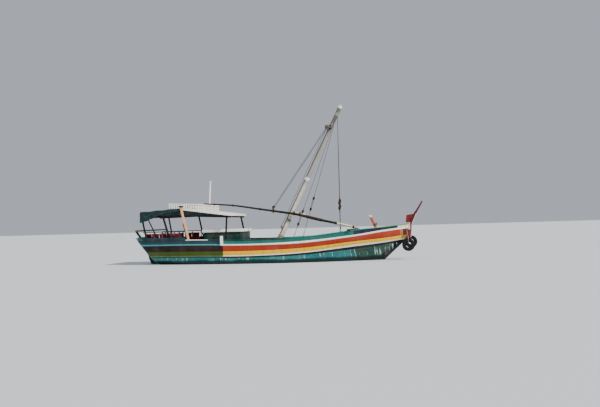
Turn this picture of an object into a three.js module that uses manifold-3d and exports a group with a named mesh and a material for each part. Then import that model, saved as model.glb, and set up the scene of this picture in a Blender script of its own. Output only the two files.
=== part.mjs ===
// Lateen-rigged wooden dhow, afloat: +X to the bow, +Y to port, +Z up, mm.
// The origin is amidships on the centreline, at the waterline.
import * as THREE from 'three';
import { mergeVertices } from 'three/addons/utils/BufferGeometryUtils.js';
import Module from 'manifold-3d';

const wasm = await Module();
wasm.setup();

// Driving dimensions
const GAP = 0.3;
const PLANK = 60;
const STEM_HALF = 75;
const KEEL_HALF = 60;
const KEEL_TOP = -800;
const KEEL_BOTTOM = -1000;
const DECK_SHARE = 0.45;
const DECK_BOARD = 32;
const CAP_THICK = 50;
const CAP_OUT = 25;
const CAP_IN = 125;
const TRANSOM_X = -6620;
const TRANSOM_RAKE = -0.72;
const TRANSOM_THICK = 60;
const MAST_FOOT_X = 80;
const MAST_RAKE = 0.504;
const MAST_HEAD_Z = 8600;
const MAST_FOOT_RADIUS = 146;
const MAST_HEAD_RADIUS = 108;
const YARD_Y = -300;

// Rail, band and bottom lines: where each one lies along the boat
const lines = {
  keel: { z: [[-6100, -800], [5150, -800]], b: [60, 60, 60, 60, 60, 60, 60, 60, 60] },
  garboard: {
    z: [[-6200, -560], [-4500, -680], [0, -720], [3500, -690], [5530, -460]],
    b: [85, 300, 620, 950, 1050, 850, 430, 190, 70],
  },
  bilge: {
    z: [[-6500, -170], [-4500, -380], [0, -450], [3500, -400], [5870, -150]],
    b: [350, 870, 1290, 1630, 1690, 1430, 830, 400, 72],
  },
  water: {
    z: [[-6700, 130], [-4500, 60], [0, 20], [4000, 60], [6255, 200]],
    b: [950, 1430, 1710, 1920, 1960, 1760, 1180, 620, 74],
  },
  wale: {
    z: [[-6900, 370], [-4000, 360], [-1000, 345], [2000, 430], [5000, 690], [6300, 850], [7140, 1000]],
    b: [1200, 1590, 1840, 2020, 2060, 1900, 1380, 770, 78],
  },
  yellow: {
    z: [[-7000, 500], [-4000, 500], [-1000, 485], [2000, 600], [4750, 900], [6300, 1040], [7440, 1175]],
    b: [1280, 1630, 1870, 2050, 2090, 1950, 1460, 840, 78],
  },
  red: {
    z: [[-7150, 745], [-4000, 735], [-1000, 712], [2000, 810], [4750, 1080], [6300, 1210], [7527, 1360]],
    b: [1350, 1670, 1900, 2080, 2120, 2000, 1540, 900, 78],
  },
  white: {
    z: [[-7400, 1075], [-4000, 1065], [-1000, 1015], [2000, 1070], [4820, 1350], [6300, 1555], [7586, 1700]],
    b: [1400, 1700, 1920, 2100, 2145, 2050, 1640, 990, 78],
  },
  teal: {
    z: [[-7450, 1155], [-4000, 1145], [-1000, 1095], [2000, 1180], [4820, 1440], [6300, 1655], [7604, 1800]],
    b: [1425, 1715, 1930, 2105, 2150, 2060, 1670, 1030, 78],
  },
  rail: {
    z: [[-7600, 1360], [-4000, 1345], [-1000, 1288], [2000, 1370], [4820, 1660], [6300, 1790], [7625, 1920]],
    b: [1445, 1730, 1940, 2110, 2155, 2075, 1710, 1080, 78],
  },
};
const BREADTH_AT = [0, 0.1, 0.2, 0.35, 0.5, 0.65, 0.8, 0.9, 1];
const STATIONS = [
  0, 0.04, 0.08, 0.12, 0.17, 0.22, 0.27, 0.32, 0.37, 0.42, 0.47, 0.52,
  0.57, 0.62, 0.67, 0.72, 0.77, 0.82, 0.86, 0.9, 0.93, 0.96, 0.98, 1,
];

// A smooth curve through a table of pairs
function curve(table, at) {
  const last = table.length - 1;
  if (at <= table[0][0]) return table[0][1];
  if (at >= table[last][0]) return table[last][1];
  let i = 0;
  while (at > table[i + 1][0]) i += 1;
  const slope = (k) => {
    const lo = Math.max(0, k - 1);
    const hi = Math.min(last, k + 1);
    return (table[hi][1] - table[lo][1]) / (table[hi][0] - table[lo][0]);
  };
  const span = table[i + 1][0] - table[i][0];
  const t = (at - table[i][0]) / span;
  const h00 = 2 * t ** 3 - 3 * t ** 2 + 1;
  const h10 = t ** 3 - 2 * t ** 2 + t;
  const h01 = -2 * t ** 3 + 3 * t ** 2;
  const h11 = t ** 3 - t ** 2;
  return h00 * table[i][1] + h10 * span * slope(i) + h01 * table[i + 1][1] + h11 * span * slope(i + 1);
}

// The outer surface of the hull, starboard side, at share s of the length
function hullPoint(name, s) {
  const line = lines[name];
  const first = line.z[0];
  const last = line.z[line.z.length - 1];
  const startX = TRANSOM_X + TRANSOM_RAKE * first[1];
  const x = startX + (last[0] - startX) * s;
  const z = s === 0 ? first[1] : curve(line.z, x);
  const breadths = BREADTH_AT.map((at, i) => [at, line.b[i]]);
  return [x, -curve(breadths, s), z];
}

function between(a, b, share) {
  return a.map((v, i) => v + (b[i] - v) * share);
}

function deckPoint(s) {
  return between(hullPoint('red', s), hullPoint('white', s), DECK_SHARE);
}

// The round of the bottom from the keel to the wale, at share s of the length
function bottomPoints(s) {
  const rows = ['keel', 'garboard', 'bilge', 'water', 'wale', 'yellow'].map((name) => hullPoint(name, s));
  const points = [];
  for (let i = 0; i < 4; i += 1) {
    const before = rows[Math.max(0, i - 1)];
    for (const t of [0, 1 / 3, 2 / 3]) {
      points.push(rows[i].map((v, k) => {
        const from = i === 0 ? v * 2 - rows[1][k] : before[k];
        const to = rows[i + 1][k];
        const after = rows[i + 2][k];
        const cubic = (3 * v - from - 3 * to + after) * t ** 3;
        return v + 0.5 * ((to - from) * t + (2 * from - 5 * v + 4 * to - after) * t ** 2 + cubic);
      }));
    }
  }
  points.push(rows[4]);
  return points;
}

function inset(p, depth) {
  return [p[0], p[1] + depth, p[2]];
}

function toPort(p) {
  return [p[0], -p[1], p[2]];
}

// A closed solid through a row of rings of points; striped ends join each
// point of a ring to the one opposite it
function loft(rings, striped = false) {
  const n = rings[0].length;
  const positions = rings.flat(2);
  const index = [];
  for (let r = 0; r < rings.length - 1; r += 1) {
    for (let i = 0; i < n; i += 1) {
      const j = (i + 1) % n;
      const a = r * n + i;
      const b = r * n + j;
      const c = (r + 1) * n + j;
      const d = (r + 1) * n + i;
      // The diagonal always climbs toward the bow, so faces that touch match
      if (rings[r][i][2] <= rings[r][j][2]) index.push(a, b, c, a, c, d);
      else index.push(a, b, d, b, c, d);
    }
  }
  const stripedEnd = (base, flip) => {
    for (let i = 0; i < n / 2 - 1; i += 1) {
      const a = base + i;
      const b = base + i + 1;
      const c = base + n - 2 - i;
      const d = base + n - 1 - i;
      if (flip) index.push(a, b, c, a, c, d);
      else index.push(a, c, b, a, d, c);
    }
  };
  const capped = (ring, base, flip) => {
    if (striped) {
      stripedEnd(base, flip);
      return;
    }
    const normal = new THREE.Vector3();
    for (let i = 0; i < n; i += 1) {
      const p = new THREE.Vector3(...ring[i]);
      const q = new THREE.Vector3(...ring[(i + 1) % n]);
      normal.add(p.cross(q));
    }
    normal.normalize();
    const up = Math.abs(normal.z) > 0.9 ? new THREE.Vector3(1, 0, 0) : new THREE.Vector3(0, 0, 1);
    const u = new THREE.Vector3().crossVectors(up, normal).normalize();
    const v = new THREE.Vector3().crossVectors(normal, u);
    const flat = ring.map((p) => {
      const point = new THREE.Vector3(...p);
      return new THREE.Vector2(point.dot(u), point.dot(v));
    });
    for (const [a, b, c] of THREE.ShapeUtils.triangulateShape(flat, [])) {
      if (flip) index.push(base + a, base + b, base + c);
      else index.push(base + a, base + c, base + b);
    }
  };
  capped(rings[0], 0, false);
  capped(rings[rings.length - 1], (rings.length - 1) * n, true);
  const geometry = new THREE.BufferGeometry();
  geometry.setAttribute('position', new THREE.Float32BufferAttribute(positions, 3));
  geometry.setIndex(index);
  if (volume(geometry) < 0) {
    for (let i = 0; i < index.length; i += 3) {
      const swap = index[i];
      index[i] = index[i + 1];
      index[i + 1] = swap;
    }
    geometry.setIndex(index);
  }
  return geometry;
}

function volume(geometry) {
  const p = geometry.attributes.position;
  const index = geometry.index.array;
  const a = new THREE.Vector3();
  const b = new THREE.Vector3();
  const c = new THREE.Vector3();
  let total = 0;
  for (let i = 0; i < index.length; i += 3) {
    a.fromBufferAttribute(p, index[i]);
    b.fromBufferAttribute(p, index[i + 1]);
    c.fromBufferAttribute(p, index[i + 2]);
    total += a.dot(b.cross(c)) / 6;
  }
  return total;
}

// Joining and cutting
function toSolid(geometry) {
  const bare = geometry.clone();
  bare.deleteAttribute('normal');
  bare.deleteAttribute('uv');
  const merged = mergeVertices(bare, 1e-3);
  return new wasm.Manifold(new wasm.Mesh({
    numProp: 3,
    vertProperties: new Float32Array(merged.attributes.position.array),
    triVerts: new Uint32Array(merged.index.array),
  }));
}

function fromSolid(solid) {
  const out = solid.getMesh();
  const geometry = new THREE.BufferGeometry();
  geometry.setAttribute('position', new THREE.Float32BufferAttribute(out.vertProperties, 3));
  geometry.setIndex(Array.from(out.triVerts));
  return geometry;
}

function join(pieces) {
  let solid = toSolid(pieces[0]);
  for (const piece of pieces.slice(1)) solid = solid.add(toSolid(piece));
  return fromSolid(solid);
}

function cut(piece, tools) {
  let solid = toSolid(piece);
  for (const tool of tools) solid = solid.subtract(toSolid(tool));
  return fromSolid(solid);
}

// Plain shapes
function box(x0, x1, y0, y1, z0, z1) {
  const geometry = new THREE.BoxGeometry(x1 - x0, y1 - y0, z1 - z0);
  geometry.translate((x0 + x1) / 2, (y0 + y1) / 2, (z0 + z1) / 2);
  return geometry;
}

// A round bar through points, with its own radius at each point
function spar(points, radii, sides) {
  const rings = points.map((p, i) => {
    const before = new THREE.Vector3(...points[Math.max(0, i - 1)]);
    const after = new THREE.Vector3(...points[Math.min(points.length - 1, i + 1)]);
    const along = after.sub(before).normalize();
    const side = Math.abs(along.y) > 0.9 ? new THREE.Vector3(1, 0, 0) : new THREE.Vector3(0, 1, 0);
    const u = new THREE.Vector3().crossVectors(side, along).normalize();
    const v = new THREE.Vector3().crossVectors(along, u);
    return Array.from({ length: sides }, (_, k) => {
      const angle = (2 * Math.PI * (k + 0.5)) / sides;
      const c = Math.cos(angle) * radii[i];
      const d = Math.sin(angle) * radii[i];
      return [p[0] + u.x * c + v.x * d, p[1] + u.y * c + v.y * d, p[2] + u.z * c + v.z * d];
    });
  });
  return loft(rings);
}

// A square bar between two points: width across the boat, depth along it
function bar(from, to, width, depth) {
  const ring = (p) => [
    [p[0] - depth / 2, p[1] - width / 2, p[2]],
    [p[0] + depth / 2, p[1] - width / 2, p[2]],
    [p[0] + depth / 2, p[1] + width / 2, p[2]],
    [p[0] - depth / 2, p[1] + width / 2, p[2]],
  ];
  return loft([ring(from), ring(to)]);
}

// A board cut to a side outline and set across the boat from y0 to y1
function sideBoard(outline, y0, y1) {
  return loft([outline.map(([x, z]) => [x, y0, z]), outline.map(([x, z]) => [x, y1, z])]);
}

function mirrored(geometry) {
  const other = geometry.clone();
  other.scale(1, -1, 1);
  const index = Array.from(other.index.array);
  for (let i = 0; i < index.length; i += 3) {
    const swap = index[i];
    index[i] = index[i + 1];
    index[i + 1] = swap;
  }
  other.setIndex(index);
  return other;
}

// Paint and timber
const finishes = {
  hullGreen: [0x0f4a40, 0.6, 0],
  wale: [0x1e1a16, 0.6, 0],
  yellow: [0xdca324, 0.55, 0],
  red: [0xb0503a, 0.6, 0],
  teal: [0x3a8f80, 0.6, 0],
  railGreen: [0x86a878, 0.6, 0],
  cream: [0xeee0c8, 0.6, 0],
  maroon: [0x4a2232, 0.6, 0],
  bareWood: [0xb9a888, 0.8, 0],
  darkWood: [0x4a3626, 0.75, 0],
  spar: [0x8b7d6c, 0.7, 0],
  rope: [0x6b5f4d, 0.9, 0],
  tarp: [0x123a33, 0.8, 0],
  rubber: [0x1c1c1e, 0.85, 0],
  cushion: [0x9a2a2c, 0.9, 0],
};
const materials = Object.fromEntries(Object.entries(finishes).map(([name, [color, roughness, metalness]]) => [
  name,
  new THREE.MeshStandardMaterial({ color, roughness, metalness }),
]));

const group = new THREE.Group();
group.name = 'dhow';

function add(name, geometry, finish) {
  const mesh = new THREE.Mesh(geometry, materials[finish]);
  mesh.name = name;
  group.add(mesh);
}

function addPair(name, geometry, finish) {
  add(`${name}_starboard`, geometry, finish);
  add(`${name}_port`, mirrored(geometry), finish);
}

// Hull body, solid up to the deck
const depth = PLANK + GAP;
const hullRings = STATIONS.map((s) => {
  const side = [
    ...bottomPoints(s),
    inset(hullPoint('wale', s), depth),
    inset(hullPoint('yellow', s), depth),
    inset(hullPoint('red', s), depth),
    inset(deckPoint(s), depth),
  ];
  return [...side, ...side.map(toPort).reverse()];
});
add('hull_body', loft(hullRings, true), 'hullGreen');

// Planks of the topside: lower line, line between, upper line
function strake(low, mid, high) {
  return loft(STATIONS.map((s) => {
    const bottom = hullPoint(low, s);
    const top = hullPoint(high, s);
    const middle = mid === 'deck' ? deckPoint(s) : hullPoint(mid, s);
    const lifted = between(bottom, middle, GAP / (middle[2] - bottom[2]));
    const outer = [lifted, middle, top];
    const inner = outer.map((p) => inset(p, PLANK));
    return [...inner, ...outer.reverse()];
  }), true);
}
addPair('wale_strake', strake('wale', 'yellow', 'red'), 'yellow');
addPair('red_strake', strake('red', 'deck', 'white'), 'red');
addPair('bulwark', strake('white', 'teal', 'rail'), 'teal');

const topsideClearance = loft(STATIONS.map((s) => {
  const rows = [hullPoint('red', s), deckPoint(s), hullPoint('white', s), hullPoint('teal', s), hullPoint('rail', s)];
  const inner = rows.map((p) => inset(p, PLANK + GAP));
  const outer = rows.map((p) => inset(p, -200)).reverse();
  return [...inner, ...outer];
}), true);
const topsides = [topsideClearance, mirrored(topsideClearance)];

// Cap rail on the bulwark
const capTop = (s) => hullPoint('rail', s)[2] + GAP + CAP_THICK;
const capBoard = (more, below, above) => loft(STATIONS.map((s) => {
  const [x, y, z] = hullPoint('rail', s);
  const inner = Math.min(y + CAP_IN, -GAP) + more;
  const low = z + GAP - below;
  const high = z + GAP + CAP_THICK + above;
  return [[x, y - CAP_OUT - more, low], [x, inner, low], [x, inner, high], [x, y - CAP_OUT - more, high]];
}));
addPair('cap_rail', capBoard(0, 0, 0), 'railGreen');
const capClearance = capBoard(30, 20, GAP);
function shareAt(x) {
  const first = hullPoint('rail', 0)[0];
  const last = hullPoint('rail', 1)[0];
  return (x - first) / (last - first);
}

// White timberheads bolted outside the bulwark
const TIMBERHEAD_X = -2450;
const outsideClearance = loft(STATIONS.map((s) => {
  const rows = ['red', 'white', 'teal', 'rail'].map((name) => hullPoint(name, s));
  rows[3][2] += GAP * 2;
  return [...rows.map((p) => inset(p, 50)), ...rows.map((p) => inset(p, -GAP)).reverse()];
}), true);
const timberheadY = hullPoint('rail', shareAt(TIMBERHEAD_X))[1];
addPair('timberhead', cut(
  box(TIMBERHEAD_X - 75, TIMBERHEAD_X + 75, timberheadY - 95, timberheadY - 4, 1040, 1560),
  [outsideClearance, capBoard(GAP, GAP, GAP)],
), 'cream');

// Deck boards
const deckSlab = (below, above, more = 0) => loft(STATIONS.map((s) => {
  const [x, y, z] = inset(deckPoint(s), depth + 3 - more);
  const low = z - below;
  const high = z + above;
  return [[x, y, low], [x, -y, low], [x, -y, high], [x, y, high]];
}));
add('deck_planking', deckSlab(-GAP, DECK_BOARD), 'bareWood');
const deckClearance = deckSlab(400, DECK_BOARD + GAP, 2);

// Keel, stem and its spike
add('keel', sideBoard([
  [-6000, KEEL_TOP - GAP], [-5900, KEEL_BOTTOM], [5120, KEEL_BOTTOM], [5330, KEEL_TOP - GAP],
], -KEEL_HALF, KEEL_HALF), 'darkWood');
const topLines = ['yellow', 'red', 'white', 'teal', 'rail'];
const endOutline = (s) => [...bottomPoints(s), ...topLines.map((name) => hullPoint(name, s))];
const stemAft = endOutline(1).map(([x, , z]) => [x + GAP, z]);
add('stem_post', sideBoard([
  ...stemAft, [7655, 1985], [7900, 2500], [8060, 2500], [7815, 1950], [7735, 1220], [7345, 1005], [6275, 30],
  [5345, -800],
], -STEM_HALF, STEM_HALF), 'maroon');
add('stem_board', sideBoard([
  [7450, 2030], [7600, 2015], [7675, 2029], [7893, 2487], [7500, 2425],
], -35, 35), 'red');
add('stem_spike', cut(join([
  spar([[7950, 0, 2460], [8010, 0, 2560], [8035, 0, 2600]], [66, 68, 40], 10),
  spar([[8010, 0, 2560], [8215, 0, 2880], [8385, 0, 3165]], [55, 50, 40], 10),
]), [box(7700, 8300, -200, 200, 2300, 2500 + GAP)]), 'maroon');

// Transom and sternpost
const transomEdge = [...endOutline(0), [0, -1420, 1530], [0, -700, 1590]];
const transomRing = (shift) => [...transomEdge, ...transomEdge.map(toPort).reverse()].map(([, y, z]) => [
  TRANSOM_X + TRANSOM_RAKE * z - shift, y, z,
]);
add('transom', loft([transomRing(GAP), transomRing(TRANSOM_THICK)], true), 'teal');
const postAt = (z, back) => [TRANSOM_X + TRANSOM_RAKE * z - TRANSOM_THICK - GAP - back, z];
// The rudder turns in two irons on the sternpost, about a raked axis
const RUDDER_SWING = 32.4;
const IRON_LENGTH = 45;
const ironHeights = [-620, 640];
const rakeLength = Math.hypot(TRANSOM_RAKE, 1);
const offPost = (z, out) => {
  const [x, height] = postAt(z, 130);
  return [x - out / rakeLength, height + (out * TRANSOM_RAKE) / rakeLength];
};
function iron(z, from, to) {
  const high = z + IRON_LENGTH;
  const [x0, z0] = offPost(z, RUDDER_SWING);
  const [x1, z1] = offPost(high, RUDDER_SWING);
  return [
    spar([[x0, 0, z0], [x1, 0, z1]], [24, 24], 12),
    sideBoard([offPost(z, from), offPost(high, from), offPost(high, to), offPost(z, to)], -12, 12),
  ];
}
add('sternpost', join([
  sideBoard([postAt(-990, 0), postAt(1300, 0), postAt(1300, 130), postAt(-990, 130)], -55, 55),
  ...ironHeights.flatMap((z) => iron(z, -5, RUDDER_SWING)),
]), 'darkWood');

// Rudder and tiller
add('rudder', join([
  sideBoard([
    postAt(-960, 210), postAt(1900, 210), postAt(1900, 350), postAt(900, 390), postAt(300, 670),
    postAt(-600, 890), postAt(-960, 850),
  ], -40, 40),
  ...ironHeights.flatMap((z) => iron(z + IRON_LENGTH + GAP + 0.1, RUDDER_SWING, 2 * RUDDER_SWING + 8)),
]), 'darkWood');
const tillerFoot = 1900 + GAP;
add('tiller', sideBoard([
  [-8400, tillerFoot], [-8230, tillerFoot], [-6450, 1960], [-6450, 2030], [-8230, 2000], [-8400, 1990],
], -35, 35), 'bareWood');

// Raised quarter boards with their top rail
const quarterStations = [0.02, 0.055, 0.09, 0.125, 0.16, 0.195];
const quarterLine = (s, y0, y1, z0, z1) => {
  const [x, y] = hullPoint('rail', s);
  const low = z0 === null ? capTop(s) + GAP : z0;
  return [[x, y + y0, low], [x, y + y1, low], [x, y + y1, z1], [x, y + y0, z1]];
};
const stanchions = quarterStations.slice(0, -1).map((s) => {
  const [x, y] = hullPoint('rail', s + 0.012);
  return box(x - 25, x + 25, y + 4, y + 44, 1500, 1850);
});
addPair('quarter_rail', join([
  loft(quarterStations.map((s) => quarterLine(s, 0, 40, null, 1530))),
  loft(quarterStations.map((s) => quarterLine(s, -10, 45, 1830, 1885))),
  ...stanchions,
]), 'teal');

// Side benches under the canopy, with red back cushions
const BENCH_HIGH = 400;
const benchStations = [0, 0.035, 0.07, 0.105, 0.14, 0.175, 0.2];
addPair('bench', cut(loft(benchStations.map((s) => {
  const [x, y] = hullPoint('red', s);
  const z = deckPoint(s)[2] + DECK_BOARD;
  // The after end leans with the transom
  const low = s === 0 ? x - 60 : x;
  const high = s === 0 ? low + TRANSOM_RAKE * BENCH_HIGH : x;
  return [
    [low, y + 20, z - 4], [low, y + 520, z - 4], [high, y + 520, z + BENCH_HIGH], [high, y + 20, z + BENCH_HIGH],
  ];
})), [deckClearance, topsideClearance]), 'bareWood');
const seatZ = (x) => deckPoint(Math.max(0, (x + 7131) / 14658))[2] + DECK_BOARD + GAP * 2 + BENCH_HIGH;
addPair('back_cushion', loft([-7330, -6800, -6200, -5600, -4950].map((x) => {
  const [, y] = hullPoint('rail', shareAt(x));
  const z = seatZ(x);
  return [[x, y + 250, z], [x, y + 370, z], [x, y + 315, 1800], [x, y + 245, 1800]];
})), 'cushion');

// Deckhouse
const houseDeck = deckPoint(0.35)[2] + DECK_BOARD - 5;
const HOUSE_TOP = 1760;
add('deckhouse', cut(box(-3850, -1690, -1000, 1000, houseDeck, HOUSE_TOP), [deckClearance]), 'hullGreen');
add('deckhouse_top', box(-3930, -1600, -1080, 1080, HOUSE_TOP + GAP, 1915), 'cream');

// Mast, the beam it stands against, and the block at its head
const mastX = (z) => MAST_FOOT_X + MAST_RAKE * (z - 800);
const mastRadius = (z) => {
  const share = (z - 800) / (MAST_HEAD_Z - 800);
  return MAST_FOOT_RADIUS + (MAST_HEAD_RADIUS - MAST_FOOT_RADIUS) * share;
};
const mastBar = (z0, z1, extra) => spar(
  [[mastX(z0), 0, z0], [mastX((z0 + z1) / 2), 0, (z0 + z1) / 2], [mastX(z1), 0, z1]],
  [mastRadius(z0) + extra, mastRadius((z0 + z1) / 2) + extra, mastRadius(z1) + extra],
  20,
);
const mastFootZ = 790;
add('mast', cut(mastBar(mastFootZ, MAST_HEAD_Z, 0), [deckClearance]), 'spar');
add('mast_beam', cut(box(400, 610, -2120, 2120, 1125, 1262), [mastBar(900, 1500, GAP), ...topsides]), 'darkWood');
add('masthead_block', cut(join([
  box(3165, 3375, YARD_Y - 58, YARD_Y + 58, 7310, 7570),
  box(3225, 3520, YARD_Y - 20, -20, 7400, 7480),
]), [mastBar(7000, 7900, GAP)]), 'darkWood');

// Main stays: pendant, two blocks, the tackle between them
const stays = [
  { name: 'stay_aft_starboard', footX: 1600, side: 1, share: 0.8, span: 0.1 },
  { name: 'stay_aft_port', footX: 1250, side: -1, share: 0.685, span: 0.09 },
  { name: 'stay_fore_starboard', footX: 4120, side: 1, share: 0.75, span: 0.045 },
  { name: 'stay_fore_port', footX: 3480, side: -1, share: 0.75, span: 0.045 },
];
const headZ = 8250;
for (const { name, footX, side, share, span } of stays) {
  const head = [mastX(headZ), 0, headZ];
  const footShare = shareAt(footX);
  const foot = [footX, side * (hullPoint('rail', footShare)[1] + 40), capTop(footShare) + 14];
  const at = (t) => between(head, foot, t);
  const upper = at(share);
  const lower = at(share + span);
  add(name, cut(join([
    spar([head, upper], [13, 13], 6),
    spar([at(share - 0.014), at(share + 0.014)], [42, 42], 8),
    spar([upper, lower], [20, 20], 6),
    spar([at(share + span - 0.014), at(share + span + 0.014)], [42, 42], 8),
    spar([lower, foot], [15, 15], 6),
  ]), [mastBar(headZ - 600, MAST_HEAD_Z + 50, GAP)]), 'rope');
}

// Lowered yard, the piece lashed along it and the hoisting block
const yardTable = [
  { x: -5840, z: 3440, radius: 28 },
  { x: -4200, z: 3405, radius: 38 },
  { x: -3700, z: 3372, radius: 41 },
  { x: -2280, z: 3255, radius: 48 },
  { x: -680, z: 2995, radius: 56 },
  { x: 1200, z: 2680, radius: 68 },
  { x: 1920, z: 2510, radius: 72 },
  { x: 2720, z: 2300, radius: 70 },
  { x: 3720, z: 2065, radius: 64 },
  { x: 4850, z: 1790, radius: 58 },
];
const fishTable = [
  { x: 1180, z: 2786, radius: 38 },
  { x: 1520, z: 2712, radius: 50 },
  { x: 1900, z: 2614, radius: 40 },
];
const along = (rows, extra) => spar(
  rows.map(({ x, z }) => [x, YARD_Y, z]),
  rows.map(({ radius }) => radius + extra),
  12,
);
const yardClearance = along(yardTable, GAP);
// The yard is made of a main pole and a tail pole, butted over the forward end rail of the roof
const BUTT = 2;
add('yard', along(yardTable.slice(BUTT), 0), 'spar');
const tailEnd = { ...yardTable[BUTT], x: yardTable[BUTT].x - 4 * GAP };
add('yard_tail', along([...yardTable.slice(0, BUTT), tailEnd], 0), 'spar');
add('yard_fish', cut(along(fishTable, 0), [yardClearance]), 'cream');
// The hoisting block hangs on a sling that stays clear of the yard as it peaks
const SLING_X = 60;
const SLING_Z = 2870;
const SLING_INNER = 88;
const sling = (half) => box(
  SLING_X - 18, SLING_X + 18, YARD_Y - half + 12, YARD_Y + half - 12, SLING_Z - half, SLING_Z + half,
);
add('hoisting_block', join([
  cut(sling(SLING_INNER + 26), [
    box(
      SLING_X - 60, SLING_X + 60, YARD_Y - SLING_INNER + 12, YARD_Y + SLING_INNER - 12,
      SLING_Z - SLING_INNER, SLING_Z + SLING_INNER,
    ),
  ]),
  ...[-1, 1].map((side) => spar([
    [SLING_X, YARD_Y + side * 59.2, SLING_Z], [SLING_X, YARD_Y + side * (SLING_INNER - 2), SLING_Z],
  ], [17, 17], 16)),
  sideBoard([
    [SLING_X - 45, 2975], [SLING_X + 45, 2975], [SLING_X + 85, 3040], [SLING_X + 105, 3130], [SLING_X + 60, 3180],
    [SLING_X - 20, 3165], [SLING_X - 60, 3080],
  ], YARD_Y - 50, YARD_Y + 50),
]), 'darkWood');

// Foredeck: beam across the rails under the yard, and the mooring post
add('fore_cross_beam', cut(box(4450, 4640, -1860, 1860, capTop(shareAt(4450)) - 8, 1748), [
  capClearance, mirrored(capClearance),
]), 'darkWood');
const foredeck = deckPoint(shareAt(6000))[2] + DECK_BOARD - 12;
add('mooring_post', cut(bar([6000, 0, foredeck], [5480, 0, 2480], 150, 160), [deckClearance]), 'red');

// Old tyres hung as fenders on each side of the stem, each on a rope from the cap rail
function tyre([x, y, z], more) {
  const profile = [
    [150 - more, -75 - more], [235, -100 - more], [310, -90 - more], [345 + more, -62 - more],
    [345 + more, 62 + more], [310, 90 + more], [235, 100 + more], [150 - more, 75 + more], [178 - more, 0],
  ];
  const loop = [...profile, profile[0]].map(([r, h]) => new THREE.Vector2(r, h));
  return fromSolid(toSolid(new THREE.LatheGeometry(loop, 28))).translate(x, y, z);
}
const tyres = [
  { sideName: 'starboard', side: 1, centre: [7590, -270, 800], ropeTop: 7470 },
  { sideName: 'port', side: -1, centre: [7690, 255, 960], ropeTop: 7530 },
];
for (const { sideName, side, centre, ropeTop } of tyres) {
  const s = shareAt(ropeTop);
  const [, y, z] = hullPoint('rail', s);
  const rope = spar([[centre[0], centre[1], centre[2] + 335], [ropeTop, side * (y - 13), z + 12]], [9, 9], 6);
  const cap = capBoard(30, GAP, 0);
  add(`tyre_fender_${sideName}`, tyre(centre, 0), 'rubber');
  add(`tyre_rope_${sideName}`, cut(rope, [side === 1 ? cap : mirrored(cap), tyre(centre, GAP)]), 'rope');
}

// Canopy: roof line, side frames, cross beams, roof deck
const CANOPY_HALF = 1430;
const roofLine = [[-7450, 2990], [-4850, 3160], [-2100, 2770]];
function roofZ(x) {
  const row = x < roofLine[1][0] ? 0 : 1;
  const [x0, z0] = roofLine[row];
  const [x1, z1] = roofLine[row + 1];
  return z0 + ((z1 - z0) * (x - x0)) / (x1 - x0);
}
const BEAM_TOP = 116;
const BEAM_DEPTH = 95;
const canopyPosts = {
  starboard: [
    { foot: -7110, top: -7370, deep: 90 },
    { foot: -6350, top: -7050, deep: 60 },
    { foot: -5610, top: -6100, deep: 110 },
    { foot: -2250, top: -2340, deep: 90 },
  ],
  port: [
    { foot: -6660, top: -6850, deep: 80 },
    { foot: -4800, top: -4950, deep: 90 },
    { foot: -2250, top: -2340, deep: 90 },
  ],
};
const beamAt = (x, y0, y1, drop, height) => [
  [x, y0, roofZ(x) - drop - height], [x, y1, roofZ(x) - drop - height], [x, y1, roofZ(x) - drop], [x, y0, roofZ(x) - drop],
];
// The side beams run nearly level; the boards on them rise to the roof
function beamTop(x) {
  return x < -4850 ? 2740 + ((x + 7420) * 50) / 2570 : 2790 - ((x + 4850) * 136) / 2750;
}
const levelAt = (x, y0, y1, low, high) => [[x, y0, low], [x, y1, low], [x, y1, high], [x, y0, high]];
for (const [sideName, posts] of Object.entries(canopyPosts)) {
  const beam = loft([-7420, -4850, -2140].map((x) => (
    levelAt(x, -CANOPY_HALF - 35, -CANOPY_HALF + 35, beamTop(x) - BEAM_DEPTH, beamTop(x))
  )));
  const legs = posts.map(({ foot, top, deep }) => {
    const s = shareAt(foot);
    const y = hullPoint('rail', s)[1] + 99;
    return bar([foot, y, capTop(s) - 20], [top, -CANOPY_HALF, beamTop(top) - 40], 52, deep);
  });
  const frame = cut(join([beam, ...legs]), [capClearance]);
  add(`canopy_frame_${sideName}`, sideName === 'port' ? mirrored(frame) : frame, 'darkWood');
}
[-7330, -5870, -4780, -3500, -2320].forEach((x, i) => {
  const drop = 45 + GAP;
  const edge = (at) => beamAt(at, -1505, 1505, drop, BEAM_TOP - drop - GAP);
  add(`canopy_cross_beam_${i + 1}`, loft([edge(x - 35), edge(x + 35)]), 'darkWood');
});
addPair('canopy_side_board', loft([-7400, -4850, -2600].map((x) => (
  levelAt(x, -CANOPY_HALF - 14, -CANOPY_HALF + 14, beamTop(x) + GAP, roofZ(x) - BEAM_TOP)
))), 'hullGreen');
// The tall starboard post that stands outside the roof edge
const tallFoot = -4460;
const tallY = hullPoint('rail', shareAt(tallFoot))[1] + 99;
add('roof_post', cut(
  bar([tallFoot, tallY, capTop(shareAt(tallFoot)) - 20], [-4950, -1630, 3225], 60, 130),
  [capClearance],
), 'cream');
const ROOF_HALF = 1560;
const slab = loft([-7380, -4850, -2100].map((x) => beamAt(x, -ROOF_HALF + 45, ROOF_HALF - 45, 0, 45)));
const fascia = loft([-4950, -4850, -2060].map((x) => beamAt(x, -ROOF_HALF, -ROOF_HALF + 46, 0, 110)));
const front = loft([-2101, -2060].map((x) => beamAt(x, -ROOF_HALF, ROOF_HALF, 0, 110)));
add('roof_deck', join([slab, fascia, mirrored(fascia), front]), 'cream');

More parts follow.
